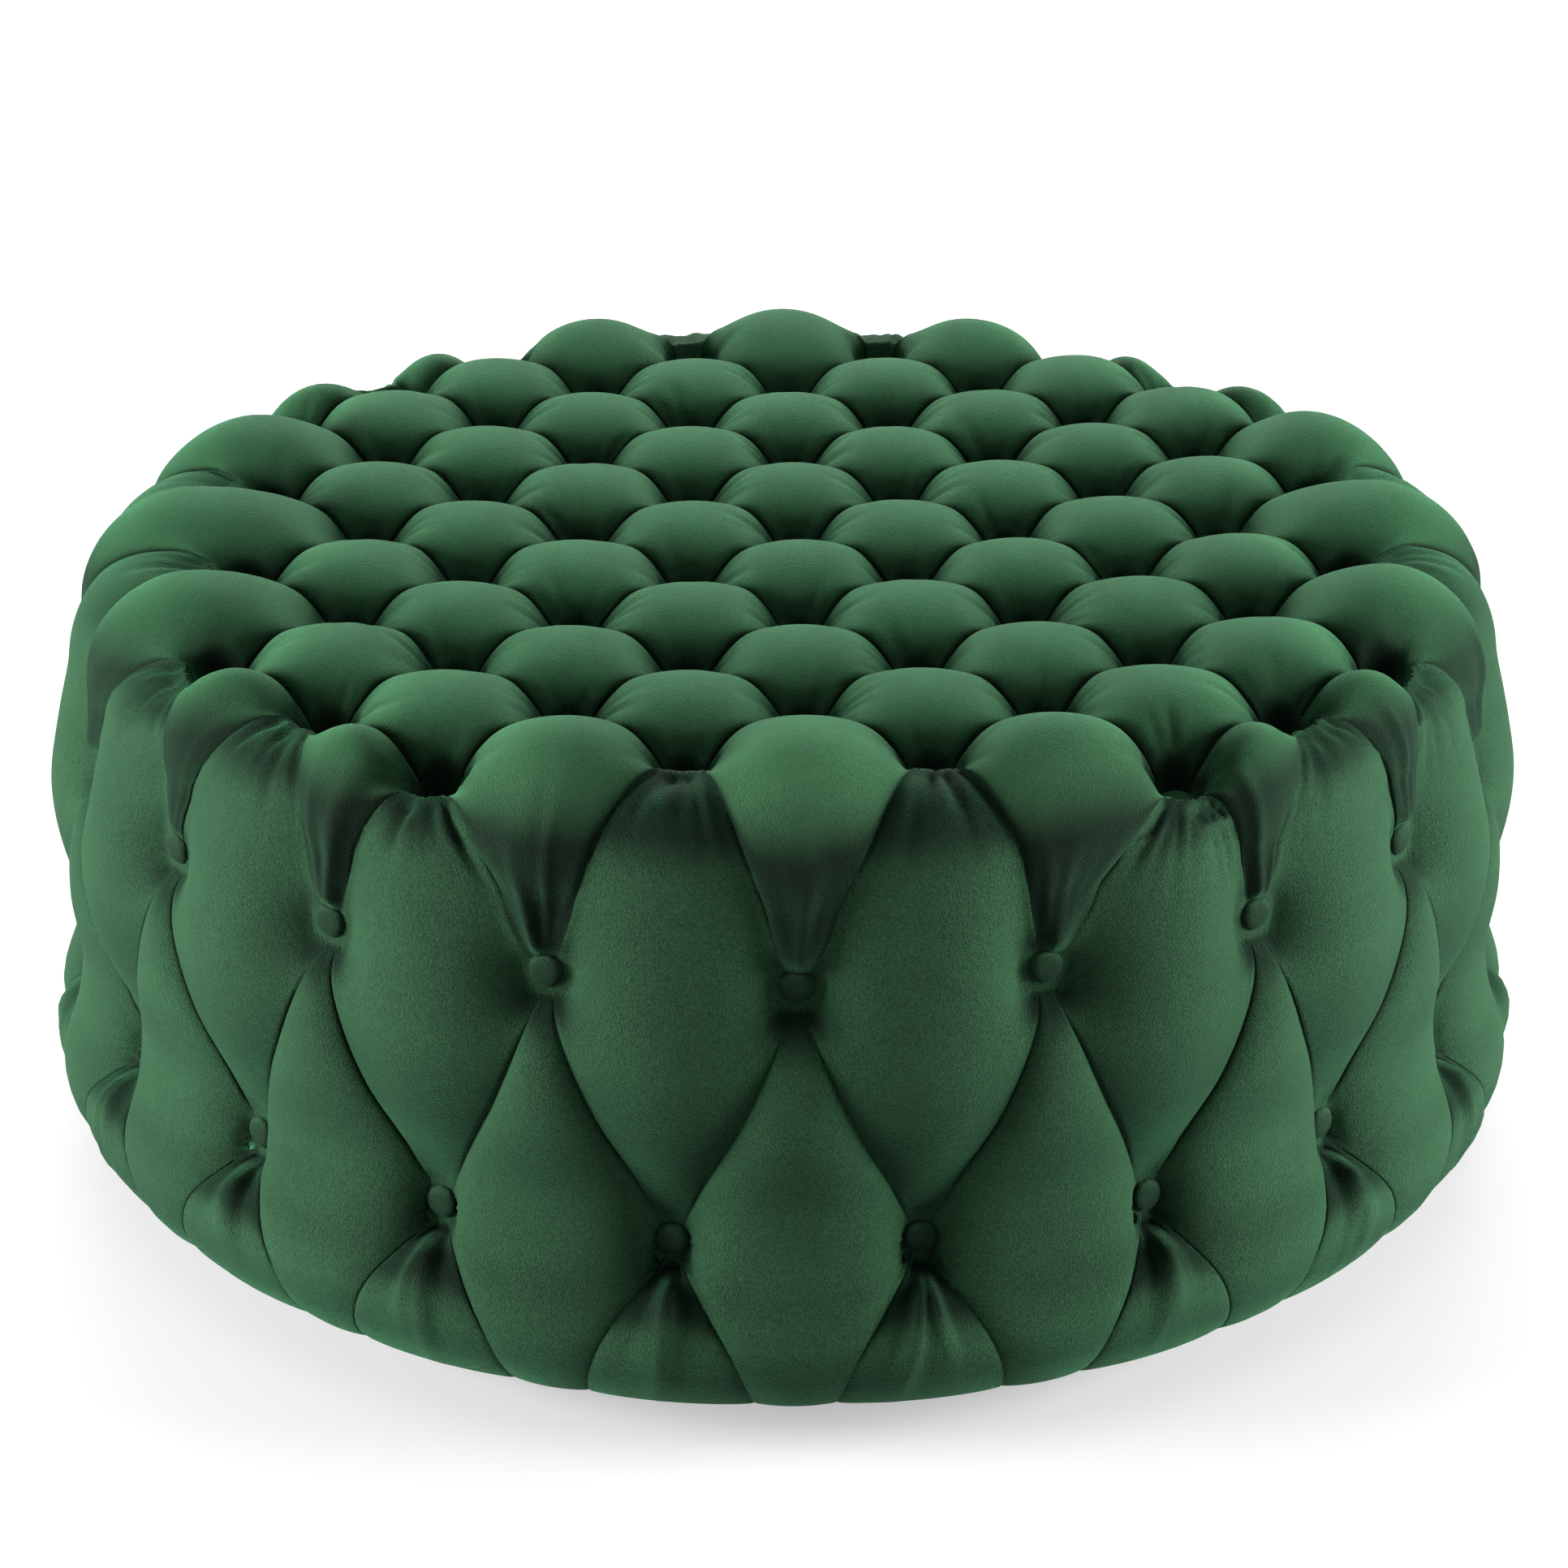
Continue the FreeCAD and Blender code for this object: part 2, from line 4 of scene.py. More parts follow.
import bpy
import numpy as np
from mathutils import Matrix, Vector


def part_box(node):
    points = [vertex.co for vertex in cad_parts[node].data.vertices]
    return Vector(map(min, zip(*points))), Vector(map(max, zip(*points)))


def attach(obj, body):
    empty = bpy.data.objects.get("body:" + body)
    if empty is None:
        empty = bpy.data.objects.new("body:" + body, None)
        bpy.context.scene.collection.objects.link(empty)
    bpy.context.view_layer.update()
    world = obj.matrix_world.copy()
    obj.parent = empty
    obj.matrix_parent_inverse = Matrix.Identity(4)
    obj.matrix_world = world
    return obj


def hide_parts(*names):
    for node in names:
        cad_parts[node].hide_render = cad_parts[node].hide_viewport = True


# A round, deep-buttoned velvet ottoman. Metres, Z up, floor at z = 0, front at -Y. Angles are seen
# from above and counted from the front towards +X.

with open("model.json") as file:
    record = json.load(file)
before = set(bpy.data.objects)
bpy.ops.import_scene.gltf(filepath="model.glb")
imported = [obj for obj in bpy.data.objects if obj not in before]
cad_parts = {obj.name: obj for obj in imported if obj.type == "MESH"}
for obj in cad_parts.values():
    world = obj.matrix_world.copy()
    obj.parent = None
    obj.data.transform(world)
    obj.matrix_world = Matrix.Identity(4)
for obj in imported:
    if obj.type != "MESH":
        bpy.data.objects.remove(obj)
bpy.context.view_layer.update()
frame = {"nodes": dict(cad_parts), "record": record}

RANDOM = np.random.default_rng(11)

# ---- sizes, from the CAD frame and the tufting pattern ---------------------------------------

TOP_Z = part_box("top_cover")[1][2]
HEM_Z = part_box("side_cover")[0][2]
FOAM_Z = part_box("top_foam")[1][2]
FOAM_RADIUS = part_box("side_foam")[1][0]

PATTERN_TURN = math.radians(1.0)
GRID_SHIFT_X = 0.0085
GRID_HALF_PITCH_X = 0.0714
GRID_ROW_PITCH_Y = 0.0754
LAST_GRID_ROW = 10
SIDE_COLUMNS = 20
COLUMN_STEP = 2 * math.pi / SIDE_COLUMNS
UPPER_ROW_Z = 0.306
LOWER_ROW_Z = 0.137
PLEAT_SPREAD = math.radians(6.3)

# Outline of the padded body over the crests of the pillows: a flat top, a round shoulder, and then
# the side as radius and height from the shoulder down
FLAT_RADIUS = 0.399
SHOULDER_ROUNDING = 0.079
SIDE_OUTLINE = [
    (0.478, 0.351), (0.489, 0.306), (0.497, 0.262), (0.4955, 0.213), (0.487, 0.166),
    (0.491, 0.132), (0.503, 0.098), (0.5045, 0.078), (0.499, 0.056), (0.487, 0.038),
    (0.474, 0.0285), (0.462, HEM_Z), (0.435, HEM_Z), (0.402, HEM_Z),
]

# Pockets: how far each kind of button is sunk below that outline. At a top button each pillow has
# a lip, which starts to sink at this distance from it. At a side button the pillows sink evenly all
# round. The seat is the floor of the pocket, level out to its radius and gone at its edge.
TOP_POCKET_DEPTH = 0.051
TOP_LIP = 0.090
RIM_LIP = 0.057
LIP_POWER = 3.1
LIP_ROUNDING = 1.12
SIDE_POCKET_DEPTH = 0.028
SIDE_PULL_DEPTH = 0.0212
SIDE_PULL = 0.0155
SEAT_RADIUS = 0.0118
TOP_SEAT_EDGE = 0.027
SIDE_SEAT_EDGE = 0.0165

# Creases: extra depth halfway between two buttons, and sideways bow with its random part
TOP_CREASE_DEPTH = 0.013
EDGE_CREASE_DEPTH = 0.013
SIDE_CREASE_DEPTH = 0.0165
PLEAT_DEPTH = 0.010
TOP_BOW = 0.0025
EDGE_BOW = 0.003
EDGE_NIP = 0.006
SIDE_BOW = 0.007
PLEAT_BOW = 0.036
BOW_SPREAD = 0.0012

# The top sinks a little towards its middle
DISH = 0.004
DISH_RADIUS = 0.38

# Rim pillows stand above the outline by their crown, which builds up over its reach. Between these
# two arc lengths they flatten into tips, which keep this share of the rise from the creases.
RIM_CROWN = 0.0088
CROWN_REACH = 0.055
RIM_TO_TIP = (0.465, 0.545)
TIP_RISE = 0.16

# Ridges are evened out where the rise from the creases is past this range, in this many rounds
RELAXED_RISE = (0.10, 0.70)
RELAX_ROUNDS = 40

# Folds that fan out from a button: half angle, count, reach, depth (below zero for ridges), and
# where they start, how wide they are and how soon they reach their depth
POCKET_FOLDS = dict(half_angle=0.70, count=5, reach=0.052, depth=0.0026)
TIP_FOLDS = dict(half_angle=0.34, count=7, reach=0.120, depth=-0.0036, width=0.0034)
LIP_FOLDS = dict(half_angle=0.74, count=14, reach=0.105, depth=0.0040, start=0.022, width=0.0023)
HEM_FOLDS = dict(half_angle=0.34, count=6, reach=0.110, depth=-0.0034, width=0.0040)
FOLD_START = 0.010
FOLD_WIDTH = 0.0026
FOLD_RAMP = 0.012

# Random part of each fold: its turn as a share of the step between two, and factors for the rest
FOLD_TURN_SPREAD = (-0.6, 0.6)
FOLD_REACH_SPREAD = (0.6, 1.15)
FOLD_WIDTH_SPREAD = (0.7, 1.3)
FOLD_DEPTH_SPREAD = (0.4, 1.3)

# Steps of each pillow's grid; its underside has one step for every few of them
PANEL_STEPS = 40
PLEAT_STEPS = 24
UNDER_STRIDE = 4

# Painted shade in creases: share of the colour left deep in a crease, and how near the other side
# is for that
CREASE_SHADE = 0.15
CREASE_SHADE_REACH = 0.009

# Cloth
COVER_THICKNESS = 0.0015
FOAM_CLEARANCE = 0.0006


# ---- small helpers ---------------------------------------------------------------------------

def smoothstep(low, high, x):
    t = np.clip((x - low) / (high - low), 0.0, 1.0)
    return t * t * (3 - 2 * t)


def unit(vectors):
    return vectors / np.maximum(np.linalg.norm(vectors, axis=-1, keepdims=True), 1e-12)


def eased_steps(count, ease=0.55):
    """Parameters from 0 to 1 that crowd towards both ends."""
    t = np.linspace(0.0, 1.0, count + 1)
    return (1 - ease) * t + ease * (1 - np.cos(math.pi * t)) / 2


# ---- the outline as a table over arc length --------------------------------------------------

def hermite_outline(points, steps=24):
    """Smooth curve through a few (radius, height) points."""
    points = np.array(points)
    slopes = np.gradient(points, axis=0)
    pieces = []
    for k in range(len(points) - 1):
        t = np.linspace(0, 1, steps, endpoint=False)[:, None]
        a = 2 * t ** 3 - 3 * t ** 2 + 1
        b = t ** 3 - 2 * t ** 2 + t
        c = -2 * t ** 3 + 3 * t ** 2
        d = t ** 3 - t ** 2
        pieces.append(a * points[k] + b * slopes[k] + c * points[k + 1] + d * slopes[k + 1])
    pieces.append(points[-1:])
    return np.vstack(pieces)


def outline_table():
    """Arc lengths from the centre, and the outline's radius and height and outward normal there."""
    flat = [(r, TOP_Z) for r in np.linspace(0, FLAT_RADIUS, 60)]
    turn = np.linspace(0, math.pi / 2, 40)[1:-1]
    shoulder = [
        (FLAT_RADIUS + SHOULDER_ROUNDING * math.sin(t),
         TOP_Z - SHOULDER_ROUNDING * (1 - math.cos(t)))
        for t in turn
    ]
    line = np.vstack([flat, shoulder, hermite_outline(SIDE_OUTLINE)])
    length = np.concatenate([[0], np.cumsum(np.linalg.norm(np.diff(line, axis=0), axis=1))])
    tangent = unit(np.gradient(line, axis=0))
    normal = np.stack([-tangent[:, 1], tangent[:, 0]], axis=1)
    return length, line, normal


LENGTH, LINE, NORMAL = outline_table()
END_LENGTH = LENGTH[-1]

# Arc lengths between which depth turns from straight down to square with the outline
SHOULDER_START = 0.440
SHOULDER_END = 0.530

# Arc lengths up to which radius grows, and from which height falls
TOP_END = 0.52
SIDE_START = 0.45


def length_at_radius(radius):
    """Arc length on the top or the shoulder at a distance from the axis."""
    top = LENGTH < TOP_END
    return np.interp(radius, LINE[top, 0], LENGTH[top])


def length_at_height(z):
    """Arc length on the side at a height above the hem."""
    side = (LENGTH > SIDE_START) & (LINE[:, 1] > HEM_Z + 0.0005)
    return np.interp(-z, -LINE[side, 1], LENGTH[side])


def outline_at(chart):
    """Angle, radius and height of the outline at chart places (X, Y), and the direction of depth
    as parts outwards and upwards with its size. The chart keeps angle and arc length."""
    length = np.linalg.norm(chart, axis=-1)
    angle = np.arctan2(chart[..., 0], -chart[..., 1])
    radius = np.interp(length, LENGTH, LINE[:, 0])
    height = np.interp(length, LENGTH, LINE[:, 1])
    out = np.interp(length, LENGTH, NORMAL[:, 0])
    up = np.interp(length, LENGTH, NORMAL[:, 1])
    share = smoothstep(SHOULDER_START, SHOULDER_END, length)
    out, up = share * out, share * up + (1 - share)
    return angle, radius, height, out, up, np.hypot(out, up)


def on_body(chart, depth):
    """Points of the body at chart places, sunk by a depth."""
    angle, radius, height, out, up, size = outline_at(chart)
    radius = radius - depth * out / size
    height = height - depth * up / size
    return np.stack([radius * np.sin(angle), -radius * np.cos(angle), height], axis=-1)


def room_below(chart):
    """Depth from the outline down to the foam, or through the cover where it lies on the base."""
    _, radius, height, out, up, size = outline_at(chart)
    to_side = (radius - FOAM_RADIUS) * size / np.maximum(out, 1e-6)
    to_top = (height - FOAM_Z) * size / np.maximum(up, 1e-6)
    to_side = np.where(out > 0.05, to_side, -1)
    to_top = np.where(up > 0.05, to_top, -1)
    return np.maximum(np.maximum(to_side, to_top), COVER_THICKNESS)


# ---- the net of buttons and creases ----------------------------------------------------------

class Knot:
    """A place where creases meet: a top or side button, or the end of a pleat under the hem."""

    def __init__(self, chart, kind):
        self.chart = np.array(chart)
        self.kind = kind
        self.place = on_body(self.chart, 0.0)
        self.depth = {"top": TOP_POCKET_DEPTH, "side": SIDE_POCKET_DEPTH, "hem": 0.0}[kind]
        self.seat_edge = TOP_SEAT_EDGE if kind == "top" else SIDE_SEAT_EDGE

    def seat(self, away):
        """Depth of the flat seat under the button, by distance from it."""
        return self.depth * (1 - smoothstep(SEAT_RADIUS, self.seat_edge, away))

    def round_pull(self, away):
        """Depth that a side button gives round it."""
        if self.kind != "side":
            return 0.0
        beyond = np.maximum(away - SEAT_RADIUS, 0.0)
        return SIDE_PULL_DEPTH * np.exp(-beyond / SIDE_PULL)


def polar(angle, length):
    return np.array([length * math.sin(angle), -length * math.cos(angle)])


def grid_columns(row):
    if row in (0, LAST_GRID_ROW):
        return (-3, -1, 1, 3)
    if row % 2:
        return (-4, -2, 0, 2, 4)
    return (-5, -3, -1, 1, 3, 5)


def top_knots():
    """Buttons of the diamond grid, keyed by column and row."""
    knots = {}
    c, s = math.cos(PATTERN_TURN), math.sin(PATTERN_TURN)
    for row in range(LAST_GRID_ROW + 1):
        for column in grid_columns(row):
            x = GRID_SHIFT_X + column * GRID_HALF_PITCH_X
            y = (row - LAST_GRID_ROW / 2) * GRID_ROW_PITCH_Y
            x, y = x * c - y * s, x * s + y * c
            radius = max(math.hypot(x, y), 1e-9)
            scale = length_at_radius(radius) / radius
            knots[column, row] = Knot((x * scale, y * scale), "top")
    return knots


def side_knots(first_angle, z):
    length = float(length_at_height(z))
    angles = [first_angle + k * COLUMN_STEP for k in range(SIDE_COLUMNS)]
    return [Knot(polar(angle, length), "side") for angle in angles]


TOP = top_knots()
UPPER = side_knots(PATTERN_TURN, UPPER_ROW_Z)
LOWER = side_knots(PATTERN_TURN + COLUMN_STEP / 2, LOWER_ROW_Z)
EDGE_KEYS = [
    (1, 0), (3, 0), (4, 1), (5, 2), (5, 4), (5, 6), (5, 8), (4, 9), (3, 10), (1, 10),
    (-1, 10), (-3, 10), (-4, 9), (-5, 8), (-5, 6), (-5, 4), (-5, 2), (-4, 1), (-3, 0), (-1, 0),
]
EDGE = [TOP[key] for key in EDGE_KEYS]


def hem_knot(k, side):
    """End of the pleat that runs from a lower button down to the flange under the hem."""
    angle = PATTERN_TURN + (k + 0.5) * COLUMN_STEP + side * PLEAT_SPREAD
    return Knot(polar(angle, END_LENGTH), "hem")


HEM_LEFT = [hem_knot(k, -1) for k in range(SIDE_COLUMNS)]
HEM_RIGHT = [hem_knot(k, 1) for k in range(SIDE_COLUMNS)]


def polar_path(start, end, t):
    """Chart points between two places with angle and arc length both changing evenly."""
    a0, a1 = (math.atan2(p[0], -p[1]) for p in (start, end))
    a1 += 2 * math.pi * round((a0 - a1) / (2 * math.pi))
    angle = a0 + t * (a1 - a0)
    length = np.linalg.norm(start) + t * (np.linalg.norm(end) - np.linalg.norm(start))
    return np.stack([length * np.sin(angle), -length * np.cos(angle)], axis=1)


def even_depth(t):
    """Shape of a crease's extra depth: level, with steep ends."""
    return 1 - (2 * t - 1) ** 4


def pleat_depth(t):
    """Shape of a pleat's depth: deepest under its button, and nearly gone at the hem."""
    return np.minimum(1.0, 6 * t) * (1 - t) ** 1.3 + 0.12 * t


class Crease:
    """Line of the cover between two knots: chart places, extra depth, and the share of its length
    that is lip at each end."""

    def __init__(self, start, end, extra, bow, lip=TOP_LIP, shape=even_depth, steps=PANEL_STEPS,
                 polar_chart=False):
        t = eased_steps(steps)
        along = end.chart - start.chart
        size = np.linalg.norm(along)
        if polar_chart:
            chart = polar_path(start.chart, end.chart, t)
        else:
            chart = start.chart + t[:, None] * along
        across = np.array([-along[1], along[0]]) / size
        self.chart = chart + bow(t)[:, None] * across
        self.extra = extra * shape(t)
        self.ends = (start, end)
        self.lip = lip / size

    def reversed(self):
        other = object.__new__(Crease)
        other.chart = self.chart[::-1]
        other.extra = self.extra[::-1]
        other.ends = self.ends[::-1]
        other.lip = self.lip
        return other

    def rows(self):
        return np.column_stack([self.chart, self.extra])


def arc_bow(size):
    return lambda t: size * np.sin(math.pi * t)


# ---- panels ----------------------------------------------------------------------------------

def coons(bottom, right, top, left, u, v):
    """Grid between four boundary rows; bottom and top run with u, left and right with v."""
    u, v = u[None, :, None], v[:, None, None]
    across = (1 - v) * bottom[None] + v * top[None]
    upward = (1 - u) * left[:, None] + u * right[:, None]
    corners = (
        (1 - u) * (1 - v) * bottom[0] + u * (1 - v) * bottom[-1]
        + (1 - u) * v * top[0] + u * v * top[-1]
    )
    return across + upward - corners


def distance_to(points, line):
    """Distance of each grid point to a line given by points."""
    flat = points.reshape(-1, points.shape[-1])
    start, end = line[:-1], line[1:]
    along = end - start
    size = np.maximum((along ** 2).sum(1), 1e-16)
    best = np.full(len(flat), 1e9)
    for k in range(len(start)):
        t = np.clip(((flat - start[k]) @ along[k]) / size[k], 0, 1)
        gap = flat - start[k] - t[:, None] * along[k]
        best = np.minimum(best, (gap ** 2).sum(1))
    return np.sqrt(best).reshape(points.shape[:-1])


def lip_pull(knot, first, second, first_crease, second_crease):
    """Depth that a top button gives in a pillow's corner, from the steps along its two creases."""
    if knot.kind != "top":
        return 0.0
    share = second / np.maximum(first + second, 1e-9)
    lip = (1 - share) * first_crease.lip + share * second_crease.lip
    away = (first ** LIP_ROUNDING + second ** LIP_ROUNDING) ** (1 / LIP_ROUNDING)
    return knot.depth * np.maximum(1 - away / lip, 0.0) ** LIP_POWER


class Swell:
    """How a pillow rises from its creases: a sharp step close to them with a share of the rise, a
    round dome beyond, and the height of its crown."""

    def __init__(self, sharp, round_reach, share, crown=0.0):
        self.sharp = sharp
        self.round = round_reach
        self.share = share
        self.crown = crown


TOP_SWELL = Swell(0.0035, 0.018, 0.50)
RIM_SWELL = Swell(0.002, 0.022, 0.18, RIM_CROWN)
SIDE_SWELL = Swell(0.0013, 0.020, 0.12)


def relaxed(depth, amount):
    """The same depths with ridges evened out where amount is 1, and kept where it is 0."""
    depth = depth.copy()
    inner = amount[1:-1, 1:-1]
    for _ in range(RELAX_ROUNDS):
        around = (depth[:-2, 1:-1] + depth[2:, 1:-1] + depth[1:-1, :-2] + depth[1:-1, 2:]) / 4
        depth[1:-1, 1:-1] += inner * (around - depth[1:-1, 1:-1])
    return depth


def deepest_near(depth, reach):
    """Greatest depth within a few grid steps of each point."""
    for axis in (0, 1):
        span = [(reach, reach) if k == axis else (0, 0) for k in (0, 1)]
        padded = np.pad(depth, span, mode="edge")
        windows = np.lib.stride_tricks.sliding_window_view(padded, 2 * reach + 1, axis=axis)
        depth = windows.max(axis=-1)
    return depth


class Panel:
    """One pillow of the cover: a grid of chart places with the depth of each below the outline."""

    def __init__(self, grid, pocket_depth, walls, swell, knots, gathers=()):
        self.chart = grid[..., :2]
        surface = on_body(self.chart, 0.0)
        length = np.linalg.norm(self.chart, axis=-1)
        over_top = 1 - smoothstep(*RIM_TO_TIP, length)
        sharp = np.ones(self.chart.shape[:2])
        round_rise = np.ones(self.chart.shape[:2])
        dome = np.ones(self.chart.shape[:2])
        for wall in walls:
            gap = distance_to(surface, on_body(wall.chart, 0.0))
            sharp = sharp * (1 - np.exp(-gap / swell.sharp))
            round_rise = round_rise * (1 - np.exp(-gap / swell.round))
            dome = dome * (1 - np.exp(-gap / CROWN_REACH))
        round_rise = round_rise / round_rise.max()
        dome = 1 - (1 - dome / dome.max()) ** 2
        rise = swell.share * np.sqrt(sharp) + (1 - swell.share) * round_rise
        if swell.crown:
            rise = rise * (TIP_RISE + (1 - TIP_RISE) * over_top)
        dish = DISH * np.maximum(1 - (length / DISH_RADIUS) ** 2, 0)
        depth = pocket_depth + grid[..., 2] * (1 - rise) + dish - swell.crown * dome * over_top
        depth = relaxed(depth, smoothstep(*RELAXED_RISE, round_rise))
        for knot in knots:
            away = np.linalg.norm(surface - knot.place, axis=-1)
            depth = depth + knot.round_pull(away)
            depth = np.where(away < knot.seat_edge, np.maximum(depth, knot.seat(away)), depth)
        for gather in gathers:
            depth = depth + gather.depth_at(self.chart) * np.sqrt(sharp)
        self.room = room_below(self.chart) - FOAM_CLEARANCE
        self.depth = np.minimum(depth, self.room)

    def outer(self):
        return on_body(self.chart, self.depth)

    def under(self):
        """The side that rests on the foam."""
        below = deepest_near(self.depth, UNDER_STRIDE) + COVER_THICKNESS
        return on_body(self.chart, np.maximum(self.room, below))


class Gather:
    """Fine folds that fan out from a button: straight lines of different length and width."""

    def __init__(self, knot, directions, start, reach, width, depth):
        self.knot = knot
        self.start = start
        self.folds = list(zip(directions, reach, width, depth))

    def depth_at(self, chart):
        offset = chart - self.knot.chart
        total = np.zeros(chart.shape[:-1])
        for direction, reach, width, depth in self.folds:
            along = offset @ direction
            aside = offset[..., 0] * direction[1] - offset[..., 1] * direction[0]
            fade = smoothstep(self.start, self.start + FOLD_RAMP, along)
            fade = fade * (1 - smoothstep(0.4 * reach, reach, along))
            total = total + depth * fade * np.exp(-(aside / (width * (1 + along / reach))) ** 2)
        return total


def fan(knot, middle, half_angle, count, reach, depth, start=FOLD_START, width=FOLD_WIDTH):
    """Folds at a button round a middle direction, given as a place of the chart to aim at. A
    negative depth gives ridges in place of furrows."""
    aim = unit(np.asarray(middle) - knot.chart)
    angles = np.linspace(-half_angle, half_angle, count)
    angles = angles + RANDOM.uniform(*FOLD_TURN_SPREAD, count) * half_angle / count
    directions = [
        np.array([math.cos(a) * aim[0] - math.sin(a) * aim[1],
                  math.sin(a) * aim[0] + math.cos(a) * aim[1]])
        for a in angles
    ]
    return Gather(
        knot, directions, start, reach * RANDOM.uniform(*FOLD_REACH_SPREAD, count),
        width * RANDOM.uniform(*FOLD_WIDTH_SPREAD, count),
        depth * RANDOM.uniform(*FOLD_DEPTH_SPREAD, count))


def quad_panel(bottom, right, top, left, swell, gathers=()):
    u = eased_steps(len(bottom.chart) - 1)
    v = eased_steps(len(left.chart) - 1)
    grid = coons(bottom.rows(), right.rows(), top.rows(), left.rows(), u, v)
    u, v = u[None, :], v[:, None]
    pocket = (
        lip_pull(bottom.ends[0], u, v, bottom, left)
        + lip_pull(bottom.ends[1], 1 - u, v, bottom, right)
        + lip_pull(top.ends[1], 1 - u, 1 - v, top, right)
        + lip_pull(top.ends[0], u, 1 - v, top, left)
    )
    knots = [*bottom.ends, *top.ends]
    return Panel(grid, pocket, [bottom, right, top, left], swell, knots, gathers)


def triangle_panel(left, right, rim, swell, gathers=()):
    """Pillow with three corners: left and right start at the apex and end at the rim's ends."""
    t = eased_steps(PANEL_STEPS)
    rows, u = t[:, None, None], t[None, :, None]
    straight = (1 - u) * left.rows()[:, None] + u * right.rows()[:, None]
    rim_rows = rim.rows()
    chord = (1 - u) * rim_rows[0] + u * rim_rows[-1]
    grid = straight + rows * (rim_rows[None] - chord)
    rows, u = t[:, None], t[None, :]
    apex, first, second = 1 - rows + 0 * u, rows * (1 - u), rows * u
    pocket = (
        lip_pull(left.ends[1], apex, second, left, rim)
        + lip_pull(right.ends[1], apex, first, right, rim)
    )
    return Panel(grid, pocket, [left, right, rim], swell, [left.ends[0], *rim.ends], gathers)


TOP_BOWS = {}


def top_crease(a, b):
    """Crease between two top buttons; the two pillows beside it get the same bow."""
    key = (min(a, b), max(a, b))
    if key not in TOP_BOWS:
        TOP_BOWS[key] = RANDOM.uniform(-TOP_BOW, TOP_BOW)
    bow = TOP_BOWS[key] if key == (a, b) else -TOP_BOWS[key]
    return Crease(TOP[a], TOP[b], TOP_CREASE_DEPTH, arc_bow(bow))


def pocket_gathers(knots):
    """Folds at each of a pillow's buttons, aimed at the middle of the pillow."""
    middle = np.mean([knot.chart for knot in knots], axis=0)
    return [fan(knot, middle, **POCKET_FOLDS) for knot in knots]


def inner_panels():
    """Pillows of the top that lie between four top buttons."""
    panels = []
    for row in range(1, LAST_GRID_ROW):
        for column in range(-5, 6):
            west, east = (column - 1, row), (column + 1, row)
            south, north = (column, row - 1), (column, row + 1)
            if all(key in TOP for key in (west, east, south, north)):
                gathers = pocket_gathers([TOP[key] for key in (west, east, south, north)])
                panels.append(quad_panel(
                    top_crease(south, east), top_crease(east, north),
                    top_crease(west, north), top_crease(south, west), TOP_SWELL, gathers))
    return panels


def edge_bow(side):
    """The seam leaves the lip outwards and then runs straight down to the button."""
    bow, nip = EDGE_BOW + RANDOM.normal(0, BOW_SPREAD), EDGE_NIP + RANDOM.normal(0, BOW_SPREAD)
    return lambda t: side * (bow * np.sin(math.pi * t) - nip * np.sin(math.pi * t ** 3))


def side_bow(side):
    return arc_bow(side * (SIDE_BOW + RANDOM.normal(0, BOW_SPREAD)))


def edge_creases():
    """Creases from each edge button down to the upper side buttons on its left and right."""
    left, right = [], []
    for k in range(SIDE_COLUMNS):
        up_right = UPPER[(k + 1) % SIDE_COLUMNS]
        left.append(Crease(EDGE[k], UPPER[k], EDGE_CREASE_DEPTH, edge_bow(-1), lip=RIM_LIP))
        right.append(Crease(EDGE[k], up_right, EDGE_CREASE_DEPTH, edge_bow(1), lip=RIM_LIP))
    return left, right


def side_creases():
    """Creases down to each lower side button from the upper ones on its left and right."""
    left, right = [], []
    for k in range(SIDE_COLUMNS):
        up_right = UPPER[(k + 1) % SIDE_COLUMNS]
        left.append(Crease(UPPER[k], LOWER[k], SIDE_CREASE_DEPTH, side_bow(-1), polar_chart=True))
        right.append(Crease(up_right, LOWER[k], SIDE_CREASE_DEPTH, side_bow(1), polar_chart=True))
    return left, right


def pleats():
    """Pleats from each lower side button to the flange under the hem."""
    def pleat(start, end, side):
        bow = side * (PLEAT_BOW + RANDOM.normal(0, 2 * BOW_SPREAD))
        return Crease(start, end, PLEAT_DEPTH, arc_bow(bow), shape=pleat_depth, steps=PLEAT_STEPS,
                      polar_chart=True)

    left = [pleat(LOWER[k], HEM_LEFT[k], -1) for k in range(SIDE_COLUMNS)]
    right = [pleat(LOWER[k], HEM_RIGHT[k], 1) for k in range(SIDE_COLUMNS)]
    return left, right


EDGE_DOWN_LEFT, EDGE_DOWN_RIGHT = edge_creases()
SIDE_LEFT, SIDE_RIGHT = side_creases()
PLEAT_LEFT, PLEAT_RIGHT = pleats()


